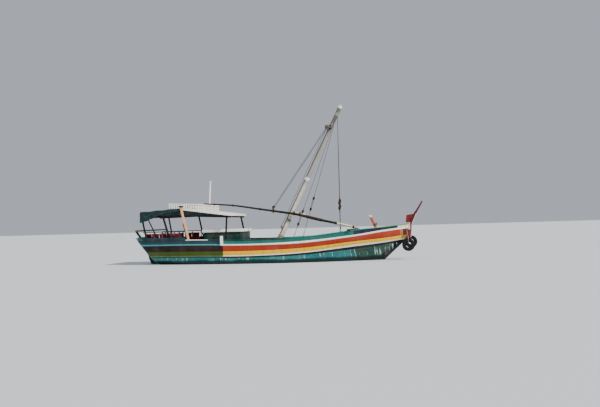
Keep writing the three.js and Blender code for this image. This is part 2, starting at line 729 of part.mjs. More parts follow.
// Dark tarpaulin over the after part of the roof, hanging at the sides
const tarpEdge = [[-7440, 2400], [-7200, 2430], [-6600, 2655], [-6000, 2880], [-5400, 2948], [-4960, 2995]];
add('tarpaulin', loft(tarpEdge.map(([x, low]) => {
  const top = roofZ(x) + GAP;
  const half = [
    [0, top + 22], [ROOF_HALF - 30, top + 22], [ROOF_HALF + 8, top - 25], [ROOF_HALF + 18, low],
    [ROOF_HALF, low], [ROOF_HALF - 10, top - 30], [ROOF_HALF - 42, top], [0, top],
  ];
  const right = half.map(([y, z]) => [x, y, z]);
  // The port side hangs less
  const left = half.slice(1, -1).reverse().map(([y, z]) => [x, -y, z === low ? Math.max(low, 2800) : z]);
  return [...right, ...left];
})), 'tarp');

// White railing on the roof
const RAIL_HALF = 1380;
const railTop = (x) => 3394 - ((x + 5720) * 64.5) / 2020;
const roofClearance = [
  loft([-6000, -4950].map((x) => beamAt(x, -1700, 1700, -22 - 2 * GAP, 90))),
  loft([-5000, -4850, -3500].map((x) => beamAt(x, -1700, 1700, -GAP, 60))),
];
const railBars = [];
// The side rails stand higher than the end rails, which pass below the yard
const SIDE_RISE = 55;
const sideBar = (y) => loft([-5745, -3675].map((x) => {
  const top = railTop(x) + SIDE_RISE;
  return [[x, y - 25, top - 45], [x, y + 25, top - 45], [x, y + 25, top], [x, y - 25, top]];
}));
const crossBar = (x) => box(x - 25, x + 25, -RAIL_HALF - 25, RAIL_HALF + 25, railTop(x) - 46, railTop(x));
railBars.push(sideBar(-RAIL_HALF), sideBar(RAIL_HALF), crossBar(-5720), crossBar(-3700));
for (let i = 0; i <= 14; i += 1) {
  const x = -5720 + (i * 2020) / 14;
  for (const y of [-RAIL_HALF, RAIL_HALF]) {
    railBars.push(box(x - 17, x + 17, y - 17, y + 17, roofZ(x), railTop(x) + SIDE_RISE - 20));
  }
}
for (let i = 1; i < 10; i += 1) {
  const y = -RAIL_HALF + (i * 2 * RAIL_HALF) / 10;
  for (const x of [-5720, -3700]) {
    railBars.push(box(x - 17, x + 17, y - 17, y + 17, roofZ(x), railTop(x) - 20));
  }
}
add('roof_railing', cut(join(railBars), roofClearance), 'cream');
const pole = spar([[-3820, 0, roofZ(-3820) - 10], [-3700, 0, 4680]], [48, 40], 12);
add('flag_pole', cut(pole, roofClearance), 'cream');

export default group;
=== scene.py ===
import math
from functools import partial

import bmesh
import bpy
from mathutils import Matrix, Quaternion, Vector


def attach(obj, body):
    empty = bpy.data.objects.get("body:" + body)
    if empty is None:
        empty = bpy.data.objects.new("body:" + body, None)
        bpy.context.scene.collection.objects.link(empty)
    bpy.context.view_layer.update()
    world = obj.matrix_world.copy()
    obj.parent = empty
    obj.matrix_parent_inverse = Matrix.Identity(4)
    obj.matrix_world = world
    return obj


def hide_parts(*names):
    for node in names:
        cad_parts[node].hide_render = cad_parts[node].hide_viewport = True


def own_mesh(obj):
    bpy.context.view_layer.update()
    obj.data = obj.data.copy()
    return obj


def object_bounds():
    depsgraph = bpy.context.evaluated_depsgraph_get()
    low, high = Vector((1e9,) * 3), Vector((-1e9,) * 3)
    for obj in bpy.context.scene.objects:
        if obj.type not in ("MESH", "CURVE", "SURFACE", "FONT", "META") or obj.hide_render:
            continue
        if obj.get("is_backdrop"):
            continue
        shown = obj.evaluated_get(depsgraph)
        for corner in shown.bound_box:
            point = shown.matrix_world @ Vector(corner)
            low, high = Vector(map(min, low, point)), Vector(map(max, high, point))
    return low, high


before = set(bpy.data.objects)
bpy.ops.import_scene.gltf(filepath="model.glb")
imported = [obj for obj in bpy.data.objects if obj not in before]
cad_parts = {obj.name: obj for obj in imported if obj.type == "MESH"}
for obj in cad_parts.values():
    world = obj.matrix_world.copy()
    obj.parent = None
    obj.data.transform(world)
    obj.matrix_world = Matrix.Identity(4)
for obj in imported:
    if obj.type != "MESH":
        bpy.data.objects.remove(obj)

cad_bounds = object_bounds()

# Hull lines
# Rail, band and bottom lines of the hull, in metres: height along the boat,
# and half breadth at shares of the length
BREADTH_AT = (0, 0.1, 0.2, 0.35, 0.5, 0.65, 0.8, 0.9, 1)
TRANSOM_X = -6.62
TRANSOM_RAKE = -0.72
LINES = {
    "keel": (((-6.1, -0.8), (5.15, -0.8)), (0.06,) * 9),
    "garboard": (
        ((-6.2, -0.56), (-4.5, -0.68), (0, -0.72), (3.5, -0.69), (5.53, -0.46)),
        (0.085, 0.3, 0.62, 0.95, 1.05, 0.85, 0.43, 0.19, 0.07),
    ),
    "bilge": (
        ((-6.5, -0.17), (-4.5, -0.38), (0, -0.45), (3.5, -0.4), (5.87, -0.15)),
        (0.35, 0.87, 1.29, 1.63, 1.69, 1.43, 0.83, 0.4, 0.072),
    ),
    "water": (
        ((-6.7, 0.13), (-4.5, 0.06), (0, 0.02), (4, 0.06), (6.255, 0.2)),
        (0.95, 1.43, 1.71, 1.92, 1.96, 1.76, 1.18, 0.62, 0.074),
    ),
    "wale": (
        ((-6.9, 0.37), (-4, 0.36), (-1, 0.345), (2, 0.43), (5, 0.69), (6.3, 0.85), (7.14, 1.0)),
        (1.2, 1.59, 1.84, 2.02, 2.06, 1.9, 1.38, 0.77, 0.078),
    ),
    "yellow": (
        ((-7, 0.5), (-4, 0.5), (-1, 0.485), (2, 0.6), (4.75, 0.9), (6.3, 1.04), (7.44, 1.175)),
        (1.28, 1.63, 1.87, 2.05, 2.09, 1.95, 1.46, 0.84, 0.078),
    ),
    "red": (
        ((-7.15, 0.745), (-4, 0.735), (-1, 0.712), (2, 0.81), (4.75, 1.08), (6.3, 1.21), (7.527, 1.36)),
        (1.35, 1.67, 1.9, 2.08, 2.12, 2.0, 1.54, 0.9, 0.078),
    ),
    "white": (
        ((-7.4, 1.075), (-4, 1.065), (-1, 1.015), (2, 1.07), (4.82, 1.35), (6.3, 1.555), (7.586, 1.7)),
        (1.4, 1.7, 1.92, 2.1, 2.145, 2.05, 1.64, 0.99, 0.078),
    ),
    "teal": (
        ((-7.45, 1.155), (-4, 1.145), (-1, 1.095), (2, 1.18), (4.82, 1.44), (6.3, 1.655), (7.604, 1.8)),
        (1.425, 1.715, 1.93, 2.105, 2.15, 2.06, 1.67, 1.03, 0.078),
    ),
    "rail": (
        ((-7.6, 1.36), (-4, 1.345), (-1, 1.288), (2, 1.37), (4.82, 1.66), (6.3, 1.79), (7.625, 1.92)),
        (1.445, 1.73, 1.94, 2.11, 2.155, 2.075, 1.71, 1.08, 0.078),
    ),
}
ORDER = tuple(LINES)


def curve(table, at):
    """A smooth curve through a table of pairs."""
    last = len(table) - 1
    if at <= table[0][0]:
        return table[0][1]
    if at >= table[last][0]:
        return table[last][1]
    i = 0
    while at > table[i + 1][0]:
        i += 1

    def slope(k):
        low, high = max(0, k - 1), min(last, k + 1)
        return (table[high][1] - table[low][1]) / (table[high][0] - table[low][0])

    span = table[i + 1][0] - table[i][0]
    t = (at - table[i][0]) / span
    value = (2 * t**3 - 3 * t**2 + 1) * table[i][1]
    value += (t**3 - 2 * t**2 + t) * span * slope(i)
    value += (-2 * t**3 + 3 * t**2) * table[i + 1][1]
    return value + (t**3 - t**2) * span * slope(i + 1)


def hull_point(name, s):
    """A point of the outer surface, starboard side, at share s of the length."""
    heights, breadths = LINES[name]
    start = TRANSOM_X + TRANSOM_RAKE * heights[0][1]
    x = start + (heights[-1][0] - start) * s
    z = heights[0][1] if s == 0 else curve(heights, x)
    return Vector((x, -curve(tuple(zip(BREADTH_AT, breadths)), s), z))


def share_at(x):
    """The share of the length where the rail passes x."""
    first, last = hull_point("rail", 0).x, hull_point("rail", 1).x
    return (x - first) / (last - first)


def rail_y(x):
    """Half breadth at the rail, starboard side, so it is negative."""
    return hull_point("rail", share_at(x)).y


def cap_top(x):
    """Height of the top of the cap rail."""
    return hull_point("rail", share_at(x)).z + 0.05


def deck_point(s):
    """The outer surface at the height of the deck's edge, partway up the red strake."""
    return hull_point("red", s).lerp(hull_point("white", s), 0.45)


# Mesh helpers
def loft(mesh, rings, closed=True):
    """A skin through rings of points, laid as a grid, with its ends filled if
    the rings are closed. Its map has the length along it and the share of the
    way round."""
    along, around = len(rings) - 1, len(rings[0]) - (0 if closed else 1)
    made = bmesh.ops.create_grid(mesh, x_segments=along, y_segments=around, size=1)
    verts = made["verts"]
    uv = mesh.loops.layers.uv.verify()
    lengths = [0.0]
    for a, b in zip(rings, rings[1:]):
        lengths.append(lengths[-1] + (b[0] - a[0]).length)
    place = {}
    for v in verts:
        i = round((v.co.x + 1) / 2 * along)
        j = round((v.co.y + 1) / 2 * around)
        place[v] = (i, j)
    faces = {f for v in verts for f in v.link_faces}
    for f in faces:
        for corner in f.loops:
            i, j = place[corner.vert]
            corner[uv].uv = (lengths[i], j / around)
    for v, (i, j) in place.items():
        v.co = rings[i][j % len(rings[i])]
    if closed:
        bmesh.ops.remove_doubles(mesh, verts=verts, dist=1e-6)
        verts = [v for v in verts if v.is_valid]
        edges = {e for v in verts for e in v.link_edges if e.is_boundary}
        if edges:
            bmesh.ops.holes_fill(mesh, edges=list(edges), sides=0)


def frames(points):
    """Two directions across a path at each of its points, without twist."""
    found, last = [], None
    for i, p in enumerate(points):
        before, after = points[max(0, i - 1)], points[min(len(points) - 1, i + 1)]
        along = (after - before).normalized()
        if last is None:
            side = Vector((0, 0, 1)) if abs(along.z) < 0.9 else Vector((0, 1, 0))
            across = along.cross(side).normalized()
        else:
            across = (last - along * last.dot(along)).normalized()
        found.append((across, along.cross(across)))
        last = across
    return found


def tube(mesh, points, radii, sides):
    """A round bar or rope through points."""
    points = [Vector(p) for p in points]
    if not hasattr(radii, "__len__"):
        radii = [radii] * len(points)
    rings = []
    for p, r, (u, w) in zip(points, radii, frames(points)):
        turn = [2 * math.pi * k / sides for k in range(sides)]
        rings.append([p + (u * math.cos(a) + w * math.sin(a)) * r for a in turn])
    loft(mesh, rings)


def between(a, b, c, d, t):
    """A point of the smooth curve from b to c, whose neighbours are a and d."""
    square = (2 * a - 5 * b + 4 * c - d) * t * t
    cubic = (3 * b - a - 3 * c + d) * t**3
    return 0.5 * ((2 * b) + (c - a) * t + square + cubic)


def smooth_path(points, steps):
    """Points along a smooth curve through the given ones."""
    points = [Vector(p) for p in points]
    out = []
    for i in range(len(points) - 1):
        a = points[max(0, i - 1)]
        b, c = points[i], points[i + 1]
        d = points[min(len(points) - 1, i + 2)]
        out += [between(a, b, c, d, k / steps) for k in range(steps)]
    return out + [points[-1]]


def helix(mesh, centre, axis, radius, turns, pitch, thick):
    """Rope wound round a spar."""
    axis = Vector(axis).normalized()
    across = axis.orthogonal().normalized()
    other = axis.cross(across)
    steps = int(turns * 14)
    points = []
    for k in range(steps + 1):
        angle = 2 * math.pi * turns * k / steps
        along = axis * (pitch * turns * (k / steps - 0.5))
        points.append(Vector(centre) + along + (across * math.cos(angle) + other * math.sin(angle)) * radius)
    tube(mesh, points, thick, 6)


def hoop(centre, u, w, radii, steps):
    """Points of a closed round or oval loop in the plane of two directions."""
    centre, u, w = Vector(centre), Vector(u) * radii[0], Vector(w) * radii[1]
    turn = [2 * math.pi * k / steps for k in range(steps + 1)]
    return [centre + u * math.cos(a) + w * math.sin(a) for a in turn]


def soften(mesh, edges, offset, segments=2):
    """Rounds edges off."""
    bmesh.ops.bevel(
        mesh, geom=edges, offset=offset, segments=segments, affect="EDGES",
        profile=0.5, material=-1, clamp_overlap=True,
    )


def brick(mesh, low, high, ease):
    """A box between two corners, with eased edges."""
    low, high = Vector(low), Vector(high)
    place = Matrix.Translation((low + high) / 2) @ Matrix.Diagonal((*(high - low), 1))
    made = bmesh.ops.create_cube(mesh, size=1, matrix=place)["verts"]
    soften(mesh, list({e for v in made for e in v.link_edges}), ease)


def turned(profile, steps, closed=False):
    """A new mesh: (radius, height) pairs swept round Z. A closed profile gives
    a ring."""
    mesh = bmesh.new()
    uv = mesh.loops.layers.uv.verify()
    verts = [mesh.verts.new((r, 0, h)) for r, h in profile]
    edges = [mesh.edges.new(pair) for pair in zip(verts, verts[1:])]
    if closed:
        edges.append(mesh.edges.new((verts[-1], verts[0])))
    bmesh.ops.spin(
        mesh, geom=verts + edges, cent=(0, 0, 0), axis=(0, 0, 1),
        angle=2 * math.pi, steps=steps, use_merge=True,
    )
    bmesh.ops.remove_doubles(mesh, verts=mesh.verts, dist=1e-6)
    for f in mesh.faces:
        for corner in f.loops:
            co = corner.vert.co
            corner[uv].uv = (math.atan2(co.y, co.x) / (2 * math.pi), math.hypot(co.x, co.y) + co.z)
    return mesh


def put(mesh, part, place):
    """Adds a small mesh to a larger one at a place, and frees it."""
    part.transform(place)
    carrier = bpy.data.meshes.new("carrier")
    part.to_mesh(carrier)
    part.free()
    mesh.from_mesh(carrier)
    bpy.data.meshes.remove(carrier)


def peg(mesh, place, segments, radii, depth):
    """Adds a short round pin at a place, as thick at each end as radii say."""
    part = bmesh.new()
    bmesh.ops.create_cone(
        part, cap_ends=True, segments=segments, radius1=radii[0], radius2=radii[1], depth=depth
    )
    put(mesh, part, place)


def facing(centre, along, across=(0, 1, 0)):
    """The place of a part whose Z lies along a line and whose Y is near across."""
    z = Vector(along).normalized()
    x = Vector(across).cross(z).normalized()
    turn = Matrix((x, z.cross(x), z)).transposed().to_4x4()
    return Matrix.Translation(Vector(centre)) @ turn


def bar(mesh, a, b, wide, deep, ease, across=(0, 1, 0)):
    """A squared bar from a to b, with eased edges: deep is its size along across."""
    a, b = Vector(a), Vector(b)
    w, d, e = wide / 2, deep / 2, ease
    corners = (
        (w - e, -d), (w, e - d), (w, d - e), (w - e, d),
        (e - w, d), (-w, d - e), (-w, e - d), (e - w, -d),
    )
    place = facing((0, 0, 0), b - a, across)
    loft(mesh, [[at + place @ Vector((x, y, 0)) for x, y in corners] for at in (a, b)])


def piece(name, mesh, material, body="hull", replaces=(), sharp=35):
    """Makes the finished mesh a piece of the boat that rides on a body."""
    bmesh.ops.recalc_face_normals(mesh, faces=mesh.faces)
    for e in mesh.edges:
        if len(e.link_faces) == 2 and e.calc_face_angle(0) > math.radians(sharp):
            e.smooth = False
    for f in mesh.faces:
        f.smooth = True
    data = bpy.data.meshes.new(name)
    mesh.to_mesh(data)
    mesh.free()
    data.materials.append(material)
    made = bpy.data.objects.new(name, data)
    bpy.context.scene.collection.objects.link(made)
    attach(made, body)
    if replaces:
        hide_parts(*replaces)
    return made


def node_form(node):
    """The form of a CAD node as a new mesh, each flat face in one."""
    mesh = bmesh.new()
    mesh.from_mesh(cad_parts[node].data)
    bmesh.ops.remove_doubles(mesh, verts=mesh.verts, dist=1e-5)
    bmesh.ops.dissolve_limit(
        mesh, angle_limit=math.radians(1), verts=mesh.verts, edges=mesh.edges, use_dissolve_boundaries=False
    )
    return mesh


def eased_piece(name, node, offset, material, body="hull", segments=2, angle=25):
    """A piece in the form of a CAD node, with its sharp edges eased."""
    mesh = node_form(node)
    sharp = [
        e for e in mesh.edges if len(e.link_faces) == 2 and e.calc_face_angle(0) > math.radians(angle)
    ]
    soften(mesh, sharp, offset, segments)
    return piece(name, mesh, material, body=body, replaces=(node,))


def wound(name, rope, coils, body="hull"):
    """A piece that is rope wound round things: centre, axis, radius, turns,
    pitch and half thickness of each coil."""
    mesh = bmesh.new()
    for coil in coils:
        helix(mesh, *coil)
    return piece(name, mesh, rope, body=body)


SIDES = (("starboard", 1), ("port", -1))


def flip(points, side):
    """Points of the starboard side, on either side."""
    return [Vector((p.x, p.y * side, p.z)) for p in points]


# Materials
# Old outdoor surfaces mirror little
DULL = 0.22
# What weather lays over a colour: bleached paint and running dirt; and painted light: the glint the water
# throws up, and shadow with wet dirt at the waterline
PALED = "E6DDCB"
DIRT = "3A3226"
WATER_GLINT = "DCE8DE"
WET_AND_SHADOW = "0E1A18"
# What opens in it: seams of painted and of bare boards, cracks, loose fibres
SEAM = "1E1812"
DECK_SEAM = "1C140E"
CRACK = "2A2018"
FLUFF = "2B241B"
# Strands of a rope, and how many of them pass in a metre
STRANDS = 3.0
LAY = 38.0


def linear(text):
    """A colour written as RRGGBB, as the shader wants it."""
    parts = [int(text[i : i + 2], 16) / 255 for i in (0, 2, 4)]
    return tuple(c / 12.92 if c <= 0.04045 else ((c + 0.055) / 1.055) ** 2.4 for c in parts) + (1.0,)


def add_node(tree, kind, sockets=None, out=0, stops=(), **settings):
    """Adds a shader node with its settings, values and links; returns one output."""
    made = tree.nodes.new("ShaderNode" + kind)
    for key, value in settings.items():
        setattr(made, key, value)
    for k, (at, colour) in enumerate(stops):
        # A new ramp has two stops
        element = made.color_ramp.elements[k] if k < 2 else made.color_ramp.elements.new(at)
        element.position = at
        element.color = linear(colour)
    for key, value in (sockets or {}).items():
        if isinstance(value, bpy.types.NodeSocket):
            tree.links.new(value, made.inputs[key])
        else:
            made.inputs[key].default_value = value
    return made.outputs[out] if len(made.outputs) > out else None


def material(name):
    """A new material without nodes, and the function that adds nodes to it."""
    made = bpy.data.materials.new(name)
    made.use_nodes = True
    made.node_tree.nodes.clear()
    return made, partial(add_node, made.node_tree)


def finish(add, colour, rough, height=None, strength=0.4, distance=0.01, more=None):
    """Surface shader with a bump and any more sockets, and the output."""
    sockets = {"Base Color": colour, "Roughness": rough, "Specular IOR Level": DULL, **(more or {})}
    if height is not None:
        sockets["Normal"] = add("Bump", {"Height": height, "Strength": strength, "Distance": distance})
    add("OutputMaterial", {"Surface": add("BsdfPrincipled", sockets)})


def layered(add, base, *layers):
    """Lays colours over a base, one after another. Each layer is a share, a
    colour and, where it doesn't cover, the way it blends."""
    for share, colour, *blend in layers:
        over = linear(colour) if isinstance(colour, str) else colour
        way = blend[0] if blend else "MIX"
        base = add("Mix", {0: share, 6: base, 7: over}, out=2, data_type="RGBA", blend_type=way)
    return base


def seam_lines(add, along, count, edge, share=1.0):
    """Narrow dark lines at even steps, a number of them to each unit: gives
    the count of boards so far and the share of the line."""
    part = add("Math", {0: along, 1: float(count)}, operation="MULTIPLY")
    step = add("Math", {0: part}, operation="FRACT")
    off = add("Math", {0: step, 1: 0.5}, operation="SUBTRACT")
    far = add("Math", {0: off}, operation="ABSOLUTE")
    return part, add("MapRange", {"Value": far, "From Min": edge, "From Max": 0.49, "To Max": share})


def painted(
    name, colour, under, wear=0.35, fade=0.15, grime=0.35, rough=0.5,
    planks=0, boards=(), zones=(), cuts=(), inside=None, water_light_and_shadow=False,
):
    """Old paint on timber: colour zones along the boat, cuts where another
    colour starts behind some planes (each x share, z share, offset), another
    colour on the inner face of a plank, faded patches, chips down to the
    wood, seams and streaks of dirt."""
    made, add = material(name)
    place = add("TexCoord", out=3)
    x, y, z = (add("SeparateXYZ", {0: place}, out=k) for k in range(3))
    if planks or inside:
        # The map's second axis goes round the plank
        around = add("SeparateXYZ", {0: add("TexCoord", out=2)}, out=1)
    blotch = add("TexNoise", {"Vector": place, "Scale": 1.3, "Detail": 5.0, "Roughness": 0.6})
    base = linear(colour)
    for at, width, other in zones:
        wander = add("Math", {0: blotch, 1: width, 2: x}, operation="MULTIPLY_ADD")
        edge = {"Value": wander, "From Min": at, "From Max": at + max(0.02, width * 0.3)}
        base = layered(add, base, (add("MapRange", edge), other))
    for planes, soft, other in cuts:
        behind = None
        for part_x, part_z, off in planes:
            level = add("Math", {0: z, 1: part_z, 2: -off}, operation="MULTIPLY_ADD")
            level = add("Math", {0: x, 1: part_x, 2: level}, operation="MULTIPLY_ADD")
            level = add("MapRange", {"Value": level, "From Min": 0.0, "From Max": soft})
            if behind is not None:
                level = add("Math", {0: level, 1: behind}, operation="MULTIPLY")
            behind = level
        base = layered(add, base, (behind, other))
    if inside:
        # The inner face of a plank is from 5/7 to 6/7 of the way round
        off = add("Math", {0: around, 1: 5.5 / 7}, operation="SUBTRACT")
        off = add("Math", {0: off}, operation="ABSOLUTE")
        within = add("MapRange", {"Value": off, "From Min": 0.088, "From Max": 0.08})
        base = layered(add, base, (within, inside))
    pale = add("MapRange", {"Value": blotch, "From Min": 0.42, "From Max": 0.78, "To Max": fade})
    # Grain and brush marks run along the plank, and the chips follow them
    runs = add("Mapping", {"Vector": place, "Scale": (3.0, 40.0, 60.0)})
    grain = add("TexNoise", {"Vector": runs, "Scale": 1.0, "Detail": 6.0, "Roughness": 0.65})
    tone = add("MapRange", {"Value": grain, "To Min": 0.78, "To Max": 1.18})
    torn = add("Mapping", {"Vector": place, "Scale": (5.0, 14.0, 22.0)})
    torn = add("TexNoise", {"Vector": torn, "Scale": 1.6, "Detail": 8.0, "Roughness": 0.72})
    low, high = 0.66 - 0.12 * wear, 0.7 - 0.1 * wear
    chips = add("MapRange", {"Value": torn, "From Min": low, "From Max": high, "To Max": 0.8})
    # Dirt that runs down
    fall = add("Mapping", {"Vector": place, "Scale": (9.0, 9.0, 0.7)})
    fall = add("TexNoise", {"Vector": fall, "Scale": 1.5, "Detail": 4.0, "Roughness": 0.6})
    streak = add("MapRange", {"Value": fall, "From Min": 0.5, "From Max": 0.75, "To Max": grime})
    base = layered(add, base, (pale, PALED), (1.0, tone, "MULTIPLY"), (chips, under), (streak, DIRT))
    height = add("Math", {0: grain, 1: 0.4}, operation="MULTIPLY")
    height = add("Math", {0: chips, 1: -0.625, 2: height}, operation="MULTIPLY_ADD")
    if planks:
        # Seams between the planks of the strake, across its width
        _, seam = seam_lines(add, around, planks, 0.455, 0.6)
        base = layered(add, base, (seam, SEAM))
        height = add("Math", {0: seam, 1: -2.0, 2: height}, operation="MULTIPLY_ADD")
    if boards:
        # Seams between boards laid side by side
        axis, pitch = boards
        _, seam = seam_lines(add, (x, y, z)[axis], 1.0 / pitch, 0.465, 0.7)
        base = layered(add, base, (seam, SEAM))
        height = add("Math", {0: seam, 1: -2.3, 2: height}, operation="MULTIPLY_ADD")
    if water_light_and_shadow:
        # Painted reflection: pale thin runs low on the bottom, where light from the water plays on it
        thin = add("Mapping", {"Vector": place, "Scale": (4.8, 0.4, 0.36)})
        thin = add("TexNoise", {"Vector": thin, "Scale": 1.9, "Detail": 5.0, "Roughness": 0.7})
        line = add("MapRange", {"Value": thin, "From Min": 0.585, "From Max": 0.62, "To Max": 0.8})
        above = add("MapRange", {"Value": z, "From Min": 0.1, "From Max": 0.35})
        line = add("Math", {0: line, 1: above}, operation="MULTIPLY")
        # Painted shadow at the waterline, over wet dirt
        edge = add("Math", {0: blotch, 1: 0.22, 2: z}, operation="MULTIPLY_ADD")
        wet_and_shadow_share = add("MapRange", {"Value": edge, "From Min": 0.4, "From Max": 0.29, "To Max": 0.92})
        base = layered(add, base, (line, WATER_GLINT), (wet_and_shadow_share, WET_AND_SHADOW))
    finish(add, base, rough, height, strength=0.5, distance=0.006)
    return made


def timber(
    name, dark, light, along="x", grain=1.0, rough=0.7, seams=0.0, cracks=0.3, zones=(), after_side_shade=None
):
    """Bare or oiled timber: long grain, darker soft bands, drying cracks, and
    seams where boards meet. A raked spar may get painted shade on its after
    side: its axis is at x = rake z + start."""
    made, add = material(name)
    place = add("TexCoord", out=3)
    x, y, z = (add("SeparateXYZ", {0: place}, out=k) for k in range(3))
    stretch = {"x": (0.35, 9.0, 9.0), "z": (9.0, 9.0, 0.35)}[along]
    runs = add("Mapping", {"Vector": place, "Scale": tuple(v * grain for v in stretch)})
    wave = {"Vector": runs, "Scale": 2.0, "Detail": 8.0, "Roughness": 0.62, "Distortion": 0.6}
    wave = add("TexNoise", wave)
    base = add("ValToRGB", {"Fac": wave}, stops=((0.3, dark), (0.7, dark), (0.52, light)))
    patch = add("TexNoise", {"Vector": place, "Scale": 1.1, "Detail": 3.0, "Roughness": 0.5})
    for at, width, other in zones:
        wander = add("Math", {0: patch, 1: width, 2: z}, operation="MULTIPLY_ADD")
        share = {"Value": wander, "From Min": at, "From Max": at + width, "To Max": 0.75}
        base = layered(add, base, (add("MapRange", share), other))
    # Painted shade: the after side of a raked spar is darker
    if after_side_shade:
        rake, start, radius, other = after_side_shade
        axis = add("Math", {0: z, 1: rake, 2: start}, operation="MULTIPLY_ADD")
        behind = add("Math", {0: axis, 1: x}, operation="SUBTRACT")
        behind = add("Math", {0: patch, 1: radius * 0.5, 2: behind}, operation="MULTIPLY_ADD")
        share = {"Value": behind, "From Min": radius * 0.55, "From Max": radius, "To Max": 0.8}
        base = layered(add, base, (add("MapRange", share), other))
    shade = {"Value": patch, "From Min": 0.3, "From Max": 0.7, "To Min": 0.75, "To Max": 1.12}
    fine = add("Mapping", {"Vector": place, "Scale": tuple(v * 4.0 for v in stretch)})
    fine = add("TexNoise", {"Vector": fine, "Scale": 1.2, "Detail": 5.0, "Roughness": 0.6})
    split = add("MapRange", {"Value": fine, "From Min": 0.62, "From Max": 0.68, "To Max": cracks})
    base = layered(add, base, (1.0, add("MapRange", shade), "MULTIPLY"), (split, CRACK))
    height = add("Math", {0: split, 1: -1.5, 2: wave}, operation="MULTIPLY_ADD")
    if seams:
        # Each board a little lighter or darker than the next
        part, seam = seam_lines(add, y, 1.0 / seams, 0.46)
        board = add("Math", {0: part}, operation="FLOOR")
        luck = add("TexWhiteNoise", {"W": board}, noise_dimensions="1D")
        vary = add("MapRange", {"Value": luck, "To Min": 0.8, "To Max": 1.12})
        base = layered(add, base, (1.0, vary, "MULTIPLY"), (seam, DECK_SEAM))
        height = add("Math", {0: seam, 1: -2.0, 2: height}, operation="MULTIPLY_ADD")
    finish(add, base, rough, height, strength=0.45, distance=0.004)
    return made


def roped(name, dark, light):
    """Laid rope: strands wind round its length, with loose fibres."""
    made, add = material(name)
    length, around = (add("SeparateXYZ", {0: add("TexCoord", out=2)}, out=k) for k in range(2))
    turn = add("Math", {0: around, 1: 2 * math.pi * STRANDS}, operation="MULTIPLY")
    phase = add("Math", {0: length, 1: LAY * 2 * math.pi / STRANDS, 2: turn}, operation="MULTIPLY_ADD")
    twist = add("Math", {0: phase}, operation="SINE")
    lifted = add("MapRange", {"Value": twist, "From Min": -1.0, "From Max": 0.6})
    place = add("TexCoord", out=3)
    fibre = add("TexNoise", {"Vector": place, "Scale": 60.0, "Detail": 4.0, "Roughness": 0.7})
    fluff_and_crease_light = add("Math", {0: fibre, 1: 0.35}, operation="MULTIPLY")
    base = layered(add, linear(dark), (lifted, light), (fluff_and_crease_light, FLUFF))
    height = add("Math", {0: fibre, 1: 0.3, 2: lifted}, operation="MULTIPLY_ADD")
    finish(add, base, 0.92, height, strength=0.7, distance=0.004)
    return made


def woven(name, colour, dusty, thread, rough, creases=None):
    """Coarse cloth: crossed threads, dust on the folds and, if asked for,
    paler creases that slant down the cloth, painted highlight on the folds."""
    made, add = material(name)
    place = add("TexCoord", out=3)
    x, y, z = (add("SeparateXYZ", {0: place}, out=k) for k in range(3))
    waves = []
    for across in (x, add("Math", {0: y, 1: z}, operation="ADD")):
        turn = add("Math", {0: across, 1: 2 * math.pi / thread / 4}, operation="MULTIPLY")
        waves.append(add("Math", {0: turn}, operation="SINE"))
    threads = add("Math", {0: waves[0], 1: waves[1]}, operation="MULTIPLY")
    cloud = add("TexNoise", {"Vector": place, "Scale": 3.1, "Detail": 6.0, "Roughness": 0.6})
    dust = add("MapRange", {"Value": cloud, "From Min": 0.45, "From Max": 0.75, "To Max": 0.3})
    base = layered(add, linear(colour), (dust, dusty))
    # Painted highlight: paler creases where the folds catch the light
    if creases:
        slant = {"Vector": place, "Rotation": (0.0, 0.9, 0.0), "Scale": (1.2, 4.5, 7.0)}
        line = {"Vector": add("Mapping", slant), "Scale": 2.2, "Detail": 4.0, "Roughness": 0.6}
        fluff_and_crease_light = add("MapRange", {"Value": add("TexNoise", line), "From Min": 0.5, "From Max": 0.7})
        # The creases belong to the cloth that hangs at the sides, and hardly show on top
        reach = {"Value": add("Math", {0: y}, operation="ABSOLUTE"), "From Min": 1.46, "From Max": 1.56}
        hangs = add("MapRange", {**reach, "To Min": 0.08, "To Max": 0.55})
        fluff_and_crease_light = add("Math", {0: fluff_and_crease_light, 1: hangs}, operation="MULTIPLY")
        base = layered(add, base, (fluff_and_crease_light, creases))
    small = add("MapRange", {"Value": threads, "From Min": -1.0, "To Min": 0.9, "To Max": 1.08})
    base = layered(add, base, (1.0, small, "MULTIPLY"))
    height = add("Math", {0: threads, 1: 0.15, 2: cloud}, operation="MULTIPLY_ADD")
    finish(add, base, rough, height, strength=0.3, distance=0.004, more={"Sheen Weight": 0.2})
    return made


def plain(name, colour, rough, spots, amount, scale, metal=0.0):
    """A plain surface with a little dirt or rust in patches."""
    made, add = material(name)
    place = add("TexCoord", out=3)
    noise = add("TexNoise", {"Vector": place, "Scale": scale, "Detail": 6.0, "Roughness": 0.65})
    share = add("MapRange", {"Value": noise, "From Min": 0.48, "From Max": 0.72, "To Max": amount})
    base = layered(add, linear(colour), (share, spots))
    finish(add, base, rough, noise, strength=0.25, distance=0.003, more={"Metallic": metal})
    return made


# The bulwarks inside: worn grey-green
INNER = "2E5A4E"

# Bottom paint, dark green forward and turquoise amidships and aft, which is painted shade under the bow and
# painted light from the water aft; black on the raked stem
BOTTOM = painted(
    "bottom_paint", "188486", "1E4A54", wear=0.4, fade=0.1, grime=0.45, rough=0.45, planks=14,
    zones=((5.2, 1.6, "004A3C"),), cuts=((((1.0, -1.106, 5.75),), 0.05, "0A141E"),), water_light_and_shadow=True,
)
# Black rubbing strake, green-black aft, which is painted shade tinted by light from the water
BLACK = painted(
    "black_wale_paint", "0E4A4A", "4A4238", wear=0.3, fade=0.05, zones=((-2.4, 0.1, "0E0C0B"),)
)
